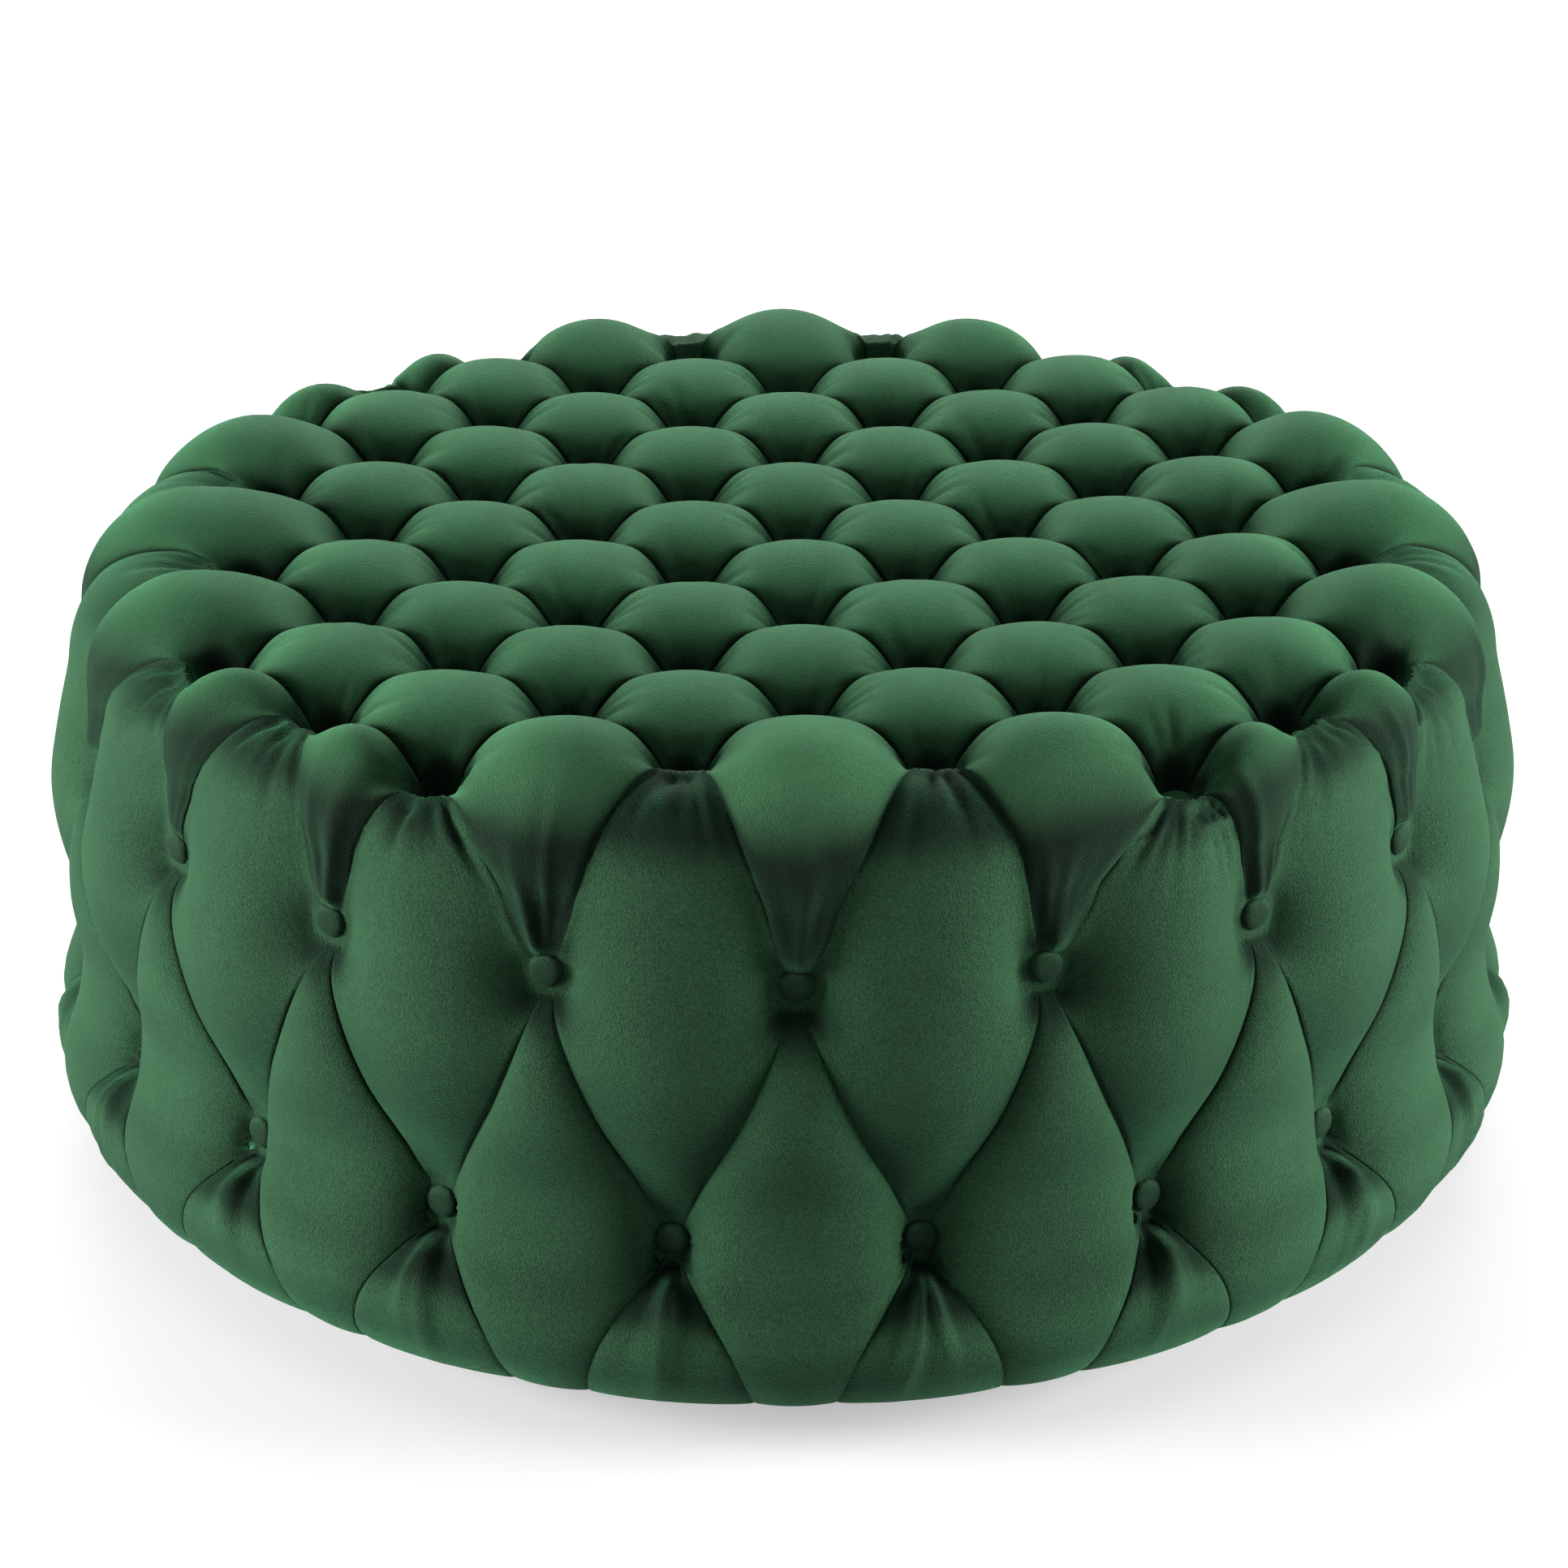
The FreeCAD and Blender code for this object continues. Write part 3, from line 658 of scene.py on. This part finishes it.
def edge_panels():
    """Pillows that run over the rim and end in a tip at an upper side button."""
    panels = []
    for k in range(SIDE_COLUMNS):
        before, after = EDGE_KEYS[k - 1], EDGE_KEYS[k]
        down_before, down_after = EDGE_DOWN_RIGHT[k - 1], EDGE_DOWN_LEFT[k]
        gap_x, gap_y = after[0] - before[0], after[1] - before[1]
        crown = (TOP[before].chart + TOP[after].chart) / 2
        # The side button only helps to aim these; the tip has folds of its own
        gathers = pocket_gathers([TOP[before], TOP[after], UPPER[k]])[:2]
        gathers.append(fan(UPPER[k], crown, **TIP_FOLDS))
        if gap_x and gap_y:
            rim = top_crease(before, after)
            panels.append(triangle_panel(
                down_before.reversed(), down_after.reversed(), rim, RIM_SWELL, gathers))
            continue
        middle = ((before[0] + after[0]) // 2, (before[1] + after[1]) // 2)
        if gap_x:
            inner = (middle[0], middle[1] + (1 if middle[1] == 0 else -1))
        else:
            inner = (middle[0] - int(np.sign(middle[0])), middle[1])
        panels.append(quad_panel(
            top_crease(inner, before), down_before, down_after, top_crease(inner, after),
            RIM_SWELL, gathers))
    return panels


def upper_side_panels():
    """Tall pillows from an edge button down between two upper side buttons to a lower one."""
    panels = []
    for k in range(SIDE_COLUMNS):
        lip = fan(EDGE[k], LOWER[k].chart, **LIP_FOLDS)
        panels.append(quad_panel(
            EDGE_DOWN_LEFT[k], SIDE_LEFT[k], SIDE_RIGHT[k], EDGE_DOWN_RIGHT[k], SIDE_SWELL, [lip]))
    return panels


def ruled_grid(left, right, u):
    return (1 - u[None, :, None]) * left[:, None] + u[None, :, None] * right[:, None]


def lower_side_panels():
    """Pillows from an upper side button down between two lower ones and on to the hem."""
    panels = []
    u = eased_steps(PANEL_STEPS)
    for k in range(SIDE_COLUMNS):
        left, right = (SIDE_RIGHT[k - 1], PLEAT_RIGHT[k - 1]), (SIDE_LEFT[k], PLEAT_LEFT[k])
        left_line = np.vstack([left[0].rows(), left[1].rows()[1:]])
        right_line = np.vstack([right[0].rows(), right[1].rows()[1:]])
        grid = ruled_grid(left_line, right_line, u)
        knots = [UPPER[k], LOWER[k - 1], LOWER[k]]
        panels.append(Panel(grid, 0.0, [*left, *right], SIDE_SWELL, knots))
    return panels


def hem_panels():
    """Narrow pillows from each lower side button down between its two pleats."""
    panels = []
    u = eased_steps(PLEAT_STEPS)
    for k in range(SIDE_COLUMNS):
        left, right = PLEAT_LEFT[k], PLEAT_RIGHT[k]
        hem = (HEM_LEFT[k].chart + HEM_RIGHT[k].chart) / 2
        gathers = [fan(LOWER[k], hem, **HEM_FOLDS)]
        grid = ruled_grid(left.rows(), right.rows(), u)
        panels.append(Panel(grid, 0.0, [left, right], SIDE_SWELL, [LOWER[k]], gathers))
    return panels


# ---- meshes ----------------------------------------------------------------------------------

# A place inside the body that every pillow faces away from, and the angle that makes an edge sharp
BODY_MIDDLE = (0, 0, 0.2)
SHARP_ANGLE = math.radians(70)


def outer_faces(rows, columns):
    index = np.arange(rows * columns).reshape(rows, columns)
    quads = np.stack([index[:-1, :-1], index[:-1, 1:], index[1:, 1:], index[1:, :-1]], axis=-1)
    return quads.reshape(-1, 4).tolist()


def under_faces(rows, columns, first):
    """Coarse faces of the underside, which meet the outer side along its edge, and the inner
    points that they use, numbered on from first."""
    stride = UNDER_STRIDE
    index = np.arange(rows * columns).reshape(rows, columns)
    inner = index[stride:-1:stride, stride:-1:stride].ravel()
    new = {int(old): first + k for k, old in enumerate(inner)}

    def side(line, on_edge):
        return [int(i) for i in (line[:-1] if on_edge else line[:1])]

    faces = []
    for i in range(0, rows - 1, stride):
        for j in range(0, columns - 1, stride):
            cell = index[i:i + stride + 1, j:j + stride + 1]
            loop = side(cell[:, 0], j == 0)
            loop += side(cell[-1, :], i + stride == rows - 1)
            loop += side(cell[::-1, -1], j + stride == columns - 1)
            loop += side(cell[0, ::-1], i == 0)
            faces.append([new.get(old, old) for old in loop])
    return faces, inner


def welded(points, faces):
    """The same mesh with equal points made one and faces with no area dropped."""
    _, keep, where = np.unique(np.round(points, 7), axis=0, return_index=True, return_inverse=True)
    where = where.ravel()
    clean = []
    for face in faces:
        loop = [int(where[i]) for i in face]
        loop = [i for k, i in enumerate(loop) if i != loop[k - 1]]
        if len(set(loop)) > 2:
            clean.append(loop)
    return points[keep], clean


def pillow_mesh(panel):
    """Closed form of one pillow: the crowned outer side, and the underside that rests on the foam.
    Its faces are turned so that the outer side looks away from the inside of the body."""
    rows, columns = panel.depth.shape
    outer = panel.outer().reshape(-1, 3)
    faces = outer_faces(rows, columns)
    under, inner = under_faces(rows, columns, len(outer))
    points = np.vstack([outer, panel.under().reshape(-1, 3)[inner]])
    i, j = rows // 2 - 1, columns // 2 - 1
    middle = outer.reshape(rows, columns, 3)[i:i + 2, j:j + 2]
    normal = np.cross(middle[0, 1] - middle[0, 0], middle[1, 0] - middle[0, 0])
    if normal @ (middle[0, 0] - np.array(BODY_MIDDLE)) < 0:
        faces = [face[::-1] for face in faces]
        under = [face[::-1] for face in under]
    return welded(points, faces + under)


def new_object(name, points, faces):
    mesh = bpy.data.meshes.new(name)
    mesh.from_pydata(np.asarray(points).tolist(), [], faces)
    mesh.update()
    mesh.shade_smooth()
    mesh.set_sharp_from_angle(angle=SHARP_ANGLE)
    piece = bpy.data.objects.new(name, mesh)
    bpy.context.scene.collection.objects.link(piece)
    return piece


def joined(meshes):
    points, faces, first = [], [], 0
    for some_points, some_faces in meshes:
        points.append(some_points)
        faces += [[first + i for i in face] for face in some_faces]
        first += len(some_points)
    return np.vstack(points), faces


def panel_piece(name, panels):
    return new_object(name, *joined([pillow_mesh(panel) for panel in panels]))


# ---- buttons and dust cover ------------------------------------------------------------------

# Radius and height of a covered button from the middle of its face to the middle of its back
BUTTON_OUTLINE = [
    (0.0, 0.0070), (0.0030, 0.00695), (0.0058, 0.0067), (0.0078, 0.0062), (0.0090, 0.0055),
    (0.0100, 0.0044), (0.0107, 0.0030), (0.0109, 0.0018), (0.0105, 0.0007), (0.0096, 0.0001),
    (0.0, 0.0),
]
BUTTON_SIDES = 36
BUTTON_TUCK = 0.00018

# Where the backs of the buttons lie: radius for the side, height for the top
SIDE_BUTTON_SEAT = 0.461
TOP_BUTTON_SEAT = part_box("top_buttons")[0][2]

# Dust cover: points round it, pulls at its edge, and the size of the pulls and of the sag
COVER_SIDES = 144
COVER_STAPLES = 36
COVER_LIFT = 0.0006
COVER_SAG = 0.0008


def button_mesh(seat, axis):
    """A covered button: a flat dome that rolls over its edge, with small tucks in its cloth."""
    axis = unit(np.array(axis, float))
    across = unit(np.cross(axis, (0.0, 0.0, 1.0) if abs(axis[2]) < 0.5 else (1.0, 0.0, 0.0)))
    other = np.cross(axis, across)
    tucks = RANDOM.uniform(0, 2 * math.pi, 2)
    turn = np.arange(BUTTON_SIDES) * 2 * math.pi / BUTTON_SIDES
    pucker = BUTTON_TUCK * (np.cos(9 * turn + tucks[0]) + np.cos(14 * turn + tucks[1]))
    points = []
    for radius, height in BUTTON_OUTLINE[1:-1]:
        ring = radius + pucker * smoothstep(0.006, 0.0105, radius)
        aside = np.cos(turn)[:, None] * across + np.sin(turn)[:, None] * other
        points.append(seat + height * axis + ring[:, None] * aside)
    rings = len(points)
    points = np.vstack([*points, [seat + BUTTON_OUTLINE[0][1] * axis], [seat]])
    index = np.arange(rings * BUTTON_SIDES).reshape(rings, BUTTON_SIDES)
    after = np.roll(index, -1, axis=1)
    faces = np.stack([index[:-1], index[1:], after[1:], after[:-1]], axis=-1)
    faces = faces.reshape(-1, 4).tolist()
    face_middle, back_middle = rings * BUTTON_SIDES, rings * BUTTON_SIDES + 1
    faces += [[face_middle, int(a), int(b)] for a, b in zip(index[0], after[0])]
    faces += [[back_middle, int(b), int(a)] for a, b in zip(index[-1], after[-1])]
    return points, faces


def side_button_meshes(knots):
    meshes = []
    for knot in knots:
        out = unit(np.array([knot.place[0], knot.place[1], 0.0]))
        meshes.append(button_mesh(out * SIDE_BUTTON_SEAT + (0, 0, knot.place[2]), out))
    return meshes


def top_button_meshes(knots):
    seats = [np.array([knot.place[0], knot.place[1], TOP_BUTTON_SEAT]) for knot in knots]
    return [button_mesh(seat, (0, 0, 1)) for seat in seats]


def dust_cover_mesh():
    """Spun cloth pulled flat under the base. It sags in the middle and has shallow pulls at the
    staples."""
    low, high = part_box("dust_cover")
    radius = high[0]
    turn = np.arange(COVER_SIDES) * 2 * math.pi / COVER_SIDES
    rings = np.concatenate([np.linspace(0.02, 0.94, 30), np.linspace(0.95, 1.0, 8)])
    pulls = 0.5 + 0.5 * np.cos(COVER_STAPLES * turn)
    points = []
    for level in (low[2], high[2]):
        for share in rings:
            lift = COVER_LIFT * pulls * smoothstep(0.75, 0.97, share)
            lift = lift - COVER_SAG * (1 - share ** 2)
            x, y = share * radius * np.sin(turn), -share * radius * np.cos(turn)
            points.append(np.stack([x, y, level + lift], 1))
    count = len(rings)
    middle = [[0, 0, low[2] - COVER_SAG], [0, 0, high[2] - COVER_SAG]]
    index = np.arange(2 * count * COVER_SIDES).reshape(2, count, COVER_SIDES)
    after = np.roll(index, -1, axis=2)
    faces = []
    for side in (0, 1):
        a, b, c, d = index[side, :-1], index[side, 1:], after[side, 1:], after[side, :-1]
        order = (a, b, c, d) if side else (a, d, c, b)
        faces += np.stack(order, axis=-1).reshape(-1, 4).tolist()
    edge = np.stack([index[0, -1], after[0, -1], after[1, -1], index[1, -1]], axis=-1)
    faces += edge.tolist()
    first = 2 * count * COVER_SIDES
    faces += [[first, int(b), int(a)] for a, b in zip(index[0, 0], after[0, 0])]
    faces += [[first + 1, int(a), int(b)] for a, b in zip(index[1, 0], after[1, 0])]
    return np.vstack([*points, middle]), faces


# ---- materials -------------------------------------------------------------------------------

# Scales of the pile's pattern: brushed patches, pebbled grain and single tufts; and the height of
# its relief
BRUSH_SCALE = 7.0
PEBBLE_SCALE = 800.0
TUFT_SCALE = 1500.0
PILE_RELIEF = 0.0009

# Height of the normal between which the pile turns from its colour to a painted shade on faces that
# look down, and that shade
UNDERSIDE_SHADE_TURN = (-0.42, 0.10)
PAINTED_UNDERSIDE_SHADE = (0.004, 0.011, 0.006)
SHEEN_TINT = (0.20, 0.78, 0.36, 1)


def node_material(name):
    material = bpy.data.materials.new(name)
    material.use_nodes = True
    tree = material.node_tree
    return material, tree, tree.nodes["Principled BSDF"]


def link(tree, output, target):
    tree.links.new(output, target)


def add_node(tree, kind, settings=(), **values):
    """New node with properties from settings and socket values by name."""
    node = tree.nodes.new(kind)
    for name, value in dict(settings).items():
        setattr(node, name, value)
    for name, value in values.items():
        node.inputs[name.replace("_", " ")].default_value = value
    return node


def noise(tree, place, scale, detail=3.0, roughness=0.5):
    node = add_node(tree, "ShaderNodeTexNoise", Scale=scale, Detail=detail, Roughness=roughness)
    link(tree, place, node.inputs["Vector"])
    return node.outputs["Fac"]


def ranged(tree, value, low, high, to_low=0.0, to_high=1.0):
    node = tree.nodes.new("ShaderNodeMapRange")
    node.interpolation_type = "SMOOTHSTEP"
    for k, number in enumerate((low, high, to_low, to_high)):
        node.inputs[k + 1].default_value = number
    link(tree, value, node.inputs[0])
    return node.outputs[0]


def mixed(tree, factor, first, second):
    """Colour between two colours, each a value or a socket."""
    node = tree.nodes.new("ShaderNodeMix")
    node.data_type = "RGBA"
    link(tree, factor, node.inputs[0])
    for socket, color in ((node.inputs[6], first), (node.inputs[7], second)):
        if isinstance(color, tuple):
            socket.default_value = (*color, 1)
        else:
            link(tree, color, socket)
    return node.outputs[2]


def scaled(tree, color, factor):
    """A colour darkened or lightened by a number from a socket."""
    node = tree.nodes.new("ShaderNodeVectorMath")
    node.operation = "SCALE"
    link(tree, color, node.inputs[0])
    link(tree, factor, node.inputs["Scale"])
    return node.outputs[0]


def velvet(name, painted_sideways_color, along, turn, grain, painted_back_color=None, span=(-0.32, 0.25), sheen=0.33):
    """Cut pile, with light and shade painted into its colour: it is painted from the sideways
    colour to along as the surface turns up, lit and shaded copies of one green, and turn gives the
    two heights of the normal. The back colour is painted in place of along towards the back, and
    span gives where the change to it starts and ends along Y."""
    material, tree, shader = node_material(name)
    place = tree.nodes.new("ShaderNodeTexCoord").outputs["Object"]
    normal = tree.nodes.new("ShaderNodeNewGeometry").outputs["Normal"]
    axes = tree.nodes.new("ShaderNodeSeparateXYZ")
    link(tree, normal, axes.inputs[0])
    # Painted light and shade: the colour is lighter or darker by how far the normal turns up
    painted_facing_shade = ranged(tree, axes.outputs["Z"], *turn)
    # Painted light and shade by place: the up-facing colour is changed along Y, from the front
    # towards the back
    if painted_back_color:
        where = tree.nodes.new("ShaderNodeSeparateXYZ")
        link(tree, place, where.inputs[0])
        along = mixed(tree, ranged(tree, where.outputs["Y"], *span), along, painted_back_color)
    pile_and_painted_shade = mixed(tree, painted_facing_shade, painted_sideways_color, along)
    # Painted shade: faces that look down are painted dark
    underside_shade_mask = ranged(tree, axes.outputs["Z"], *UNDERSIDE_SHADE_TURN)
    pile_and_painted_shade = mixed(tree, underside_shade_mask, PAINTED_UNDERSIDE_SHADE, pile_and_painted_shade)
    brushed = ranged(tree, noise(tree, place, BRUSH_SCALE, 5.0, 0.6), 0.3, 0.72, 0.86, 1.16)
    tufts = noise(tree, place, TUFT_SCALE, 2.0)
    pebbles = noise(tree, place, PEBBLE_SCALE, 3.0, 0.6)
    fleck = ranged(tree, pebbles, 0.32, 0.68, 1 - grain, 1 + grain)
    # Painted shade: an ambient occlusion node darkens the colour in creases, pockets and round the
    # buttons
    crease_occlusion = add_node(
        tree, "ShaderNodeAmbientOcclusion", {"samples": 6}, Distance=CREASE_SHADE_REACH)
    shade = ranged(tree, crease_occlusion.outputs["AO"], 0.35, 0.9, CREASE_SHADE, 1.0)
    color = scaled(tree, scaled(tree, scaled(tree, pile_and_painted_shade, brushed), fleck), shade)
    link(tree, color, shader.inputs["Base Color"])
    height = add_node(tree, "ShaderNodeMath", {"operation": "ADD"})
    link(tree, tufts, height.inputs[0])
    link(tree, pebbles, height.inputs[1])
    bump = add_node(tree, "ShaderNodeBump", Strength=1.0, Distance=PILE_RELIEF)
    link(tree, height.outputs[0], bump.inputs["Height"])
    link(tree, bump.outputs["Normal"], shader.inputs["Normal"])
    shader.inputs["Roughness"].default_value = 0.8
    shader.inputs["Specular IOR Level"].default_value = 0.06
    shader.inputs["Sheen Weight"].default_value = sheen
    shader.inputs["Sheen Roughness"].default_value = 0.30
    shader.inputs["Sheen Tint"].default_value = SHEEN_TINT
    return material


def grained(name, dark, light, scale, roughness, stretch=(1, 1, 1), metallic=0.0, relief=0.0002):
    """Procedural finish from stretched noise: wood grain, moulded or drawn surfaces, foam or spun
    cloth."""
    material, tree, shader = node_material(name)
    place = tree.nodes.new("ShaderNodeTexCoord").outputs["Object"]
    mapping = add_node(tree, "ShaderNodeMapping", Scale=stretch)
    link(tree, place, mapping.inputs["Vector"])
    grain = noise(tree, mapping.outputs["Vector"], scale, 5.0, 0.6)
    color = mixed(tree, ranged(tree, grain, 0.3, 0.7), dark, light)
    patches = ranged(tree, noise(tree, place, 9.0, 2.0), 0.3, 0.7, 0.88, 1.10)
    link(tree, scaled(tree, color, patches), shader.inputs["Base Color"])
    gloss = ranged(tree, grain, 0.3, 0.7, roughness + 0.08, roughness - 0.08)
    link(tree, gloss, shader.inputs["Roughness"])
    bump = add_node(tree, "ShaderNodeBump", Strength=0.6, Distance=relief)
    link(tree, grain, bump.inputs["Height"])
    link(tree, bump.outputs["Normal"], shader.inputs["Normal"])
    shader.inputs["Metallic"].default_value = metallic
    return material


# ---- camera, floor and light -----------------------------------------------------------------

# From a camera fit to the outline and the buttons of the photo
LENS_MM = 86.1
SENSOR_MM = 36
CAMERA_DISTANCE = 2.589
CAMERA_ELEVATION = math.radians(24.37)
CAMERA_TARGET = (0.0008, 0, 0.222)

WORLD_STRENGTH = 0.065

# Name, place, target, size and power of each area light
LIGHTS = [
    ("left_box", (-2.6, -0.72, 0.65), (0, 0, 0.2), (1.1, 1.1), 215),
    ("right_box", (2.65, -0.48, 0.65), (0, 0, 0.2), (1.1, 1.1), 205),
    ("back_box", (0, 2.6, 1.35), (0, 0, 0.35), (3.0, 1.4), 115),
    ("top_box", (0, -0.9, 2.6), (0, -0.2, 0.35), (2.2, 1.6), 20),
    ("floor_wash", (0, 5.0, 2.2), (0, 5.2, 0), (8.0, 3.0), 150),
]

FLOOR_HALF = 30
# The floor glows a little, and more and more between these two places along Y, so that it runs
# out into white
FLOOR_FADE = (1.8, 3.0)
FLOOR_GLOW = (0.39, 1.0)


def camera():
    data = bpy.data.cameras.new("camera")
    data.lens = LENS_MM
    data.sensor_width = SENSOR_MM
    eye = bpy.data.objects.new("camera", data)
    bpy.context.scene.collection.objects.link(eye)
    back = Vector((0, -math.cos(CAMERA_ELEVATION), math.sin(CAMERA_ELEVATION)))
    eye.location = Vector(CAMERA_TARGET) + back * CAMERA_DISTANCE
    eye.rotation_euler = (-back).to_track_quat("-Z", "Y").to_euler()
    bpy.context.scene.camera = eye


def area_light(name, place, target, size, power):
    data = bpy.data.lights.new(name, "AREA")
    data.shape = "RECTANGLE"
    data.size, data.size_y = size
    data.energy = power
    lamp = bpy.data.objects.new(name, data)
    lamp.location = place
    lamp.rotation_euler = (Vector(target) - Vector(place)).to_track_quat("-Z", "Y").to_euler()
    bpy.context.scene.collection.objects.link(lamp)


def studio():
    world = bpy.data.worlds.new("studio")
    world.use_nodes = True
    background = world.node_tree.nodes["Background"]
    background.inputs["Color"].default_value = (1, 1, 1, 1)
    background.inputs["Strength"].default_value = WORLD_STRENGTH
    bpy.context.scene.world = world
    bpy.context.scene.view_settings.view_transform = "Standard"
    for light in LIGHTS:
        area_light(*light)
    mesh = bpy.data.meshes.new("floor")
    signs = ((-1, -1), (1, -1), (1, 1), (-1, 1))
    corners = [(x * FLOOR_HALF, y * FLOOR_HALF, 0) for x, y in signs]
    mesh.from_pydata(corners, [], [(0, 1, 2, 3)])
    floor = bpy.data.objects.new("floor", mesh)
    paint, tree, principled = node_material("floor_white")
    principled.inputs["Base Color"].default_value = (0.4, 0.4, 0.4, 1)
    principled.inputs["Roughness"].default_value = 0.9
    place = tree.nodes.new("ShaderNodeTexCoord").outputs["Object"]
    axes = tree.nodes.new("ShaderNodeSeparateXYZ")
    link(tree, place, axes.inputs[0])
    glow = ranged(tree, axes.outputs["Y"], *FLOOR_FADE, *FLOOR_GLOW)
    link(tree, glow, principled.inputs["Emission Strength"])
    principled.inputs["Emission Color"].default_value = (1, 1, 1, 1)
    floor.data.materials.append(paint)
    bpy.context.scene.collection.objects.link(floor)


# ---- build -----------------------------------------------------------------------------------

camera()
studio()

# Painted light and shade: the top is painted light where it faces up and dark where it turns
# sideways, and its front edge lighter than the rest
TOP_VELVET = velvet(
    "top_velvet", painted_sideways_color=(0.0030, 0.0095, 0.0048), along=(0.040, 0.118, 0.053),
    turn=(0.24, 0.95), grain=0.16, painted_back_color=(0.0195, 0.0655, 0.0280), span=(-0.47, -0.33))
# Painted light and shade: the side is painted lighter where it faces out than on its up-facing lip
# band, and the lip lighter towards the back
SIDE_VELVET = velvet(
    "side_velvet", painted_sideways_color=(0.0145, 0.0445, 0.0205), along=(0.0035, 0.012, 0.006),
    turn=(0.25, 0.70), grain=0.34, painted_back_color=(0.017, 0.055, 0.025))

top_cover = panel_piece("top_velvet", inner_panels() + edge_panels())
side_cover = panel_piece("side_velvet", upper_side_panels() + lower_side_panels() + hem_panels())
top_cover.data.materials.append(TOP_VELVET)
side_cover.data.materials.append(SIDE_VELVET)
for piece in (top_cover, side_cover):
    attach(piece, "root")
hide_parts("top_cover", "top_fill")
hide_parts("side_cover", "side_fill")

# Painted light and shade: the buttons' cloth is painted lighter where it faces up than where it
# faces sideways
BUTTON_VELVET = velvet(
    "button_velvet", painted_sideways_color=(0.008, 0.024, 0.012), along=(0.020, 0.058, 0.028),
    turn=(0.0, 0.8), grain=0.20, sheen=0.12)
for name, meshes in (
    ("top_buttons", top_button_meshes(TOP.values())),
    ("upper_side_buttons", side_button_meshes(UPPER)),
    ("lower_side_buttons", side_button_meshes(LOWER)),
):
    buttons = new_object("covered_" + name, *joined(meshes))
    buttons.data.materials.append(BUTTON_VELVET)
    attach(buttons, "root")
    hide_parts(name)

DUST_CLOTH = grained("dust_cloth", (0.006, 0.006, 0.007), (0.022, 0.022, 0.024), 900.0, 0.9)
under_cloth = new_object("under_cloth", *dust_cover_mesh())
under_cloth.data.materials.append(DUST_CLOTH)
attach(under_cloth, "root")
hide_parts("dust_cover")

# Finish of every CAD node that stays, by the record's material slot: the two colours of its grain,
# then its scale, its roughness and, where they matter, its stretch, metallic share and relief
FINISHES = {
    "plywood": ((0.36, 0.22, 0.11), (0.62, 0.44, 0.26), 60.0, 0.65, (1, 0.08, 4)),
    "softwood": ((0.46, 0.29, 0.14), (0.72, 0.53, 0.32), 90.0, 0.6, (0.06, 1, 1)),
    "hardboard": ((0.12, 0.065, 0.035), (0.22, 0.13, 0.07), 400.0, 0.7),
    "foam": ((0.66, 0.60, 0.42), (0.86, 0.82, 0.66), 700.0, 0.95, (1, 1, 1), 0.0, 0.0006),
    "twine": ((0.38, 0.33, 0.25), (0.66, 0.60, 0.49), 900.0, 0.85, (1, 1, 0.3)),
    "toggle": ((0.52, 0.50, 0.44), (0.66, 0.64, 0.58), 200.0, 0.4),
    "foot_plastic": ((0.008, 0.008, 0.009), (0.018, 0.018, 0.020), 1200.0, 0.5),
    "screw_steel": ((0.42, 0.42, 0.44), (0.60, 0.60, 0.61), 300.0, 0.35, (1, 1, 1), 1.0),
    "staple_wire": ((0.50, 0.50, 0.50), (0.68, 0.68, 0.67), 500.0, 0.30, (1, 1, 1), 1.0),
}
finishes = {name: grained(name, *look) for name, look in FINISHES.items()}
for row in frame["record"]["subparts"]:
    finish = finishes.get(row["material_slot"])
    if finish:
        slots = frame["nodes"][row["node"]].data.materials
        for k in range(len(slots)):
            slots[k] = finish
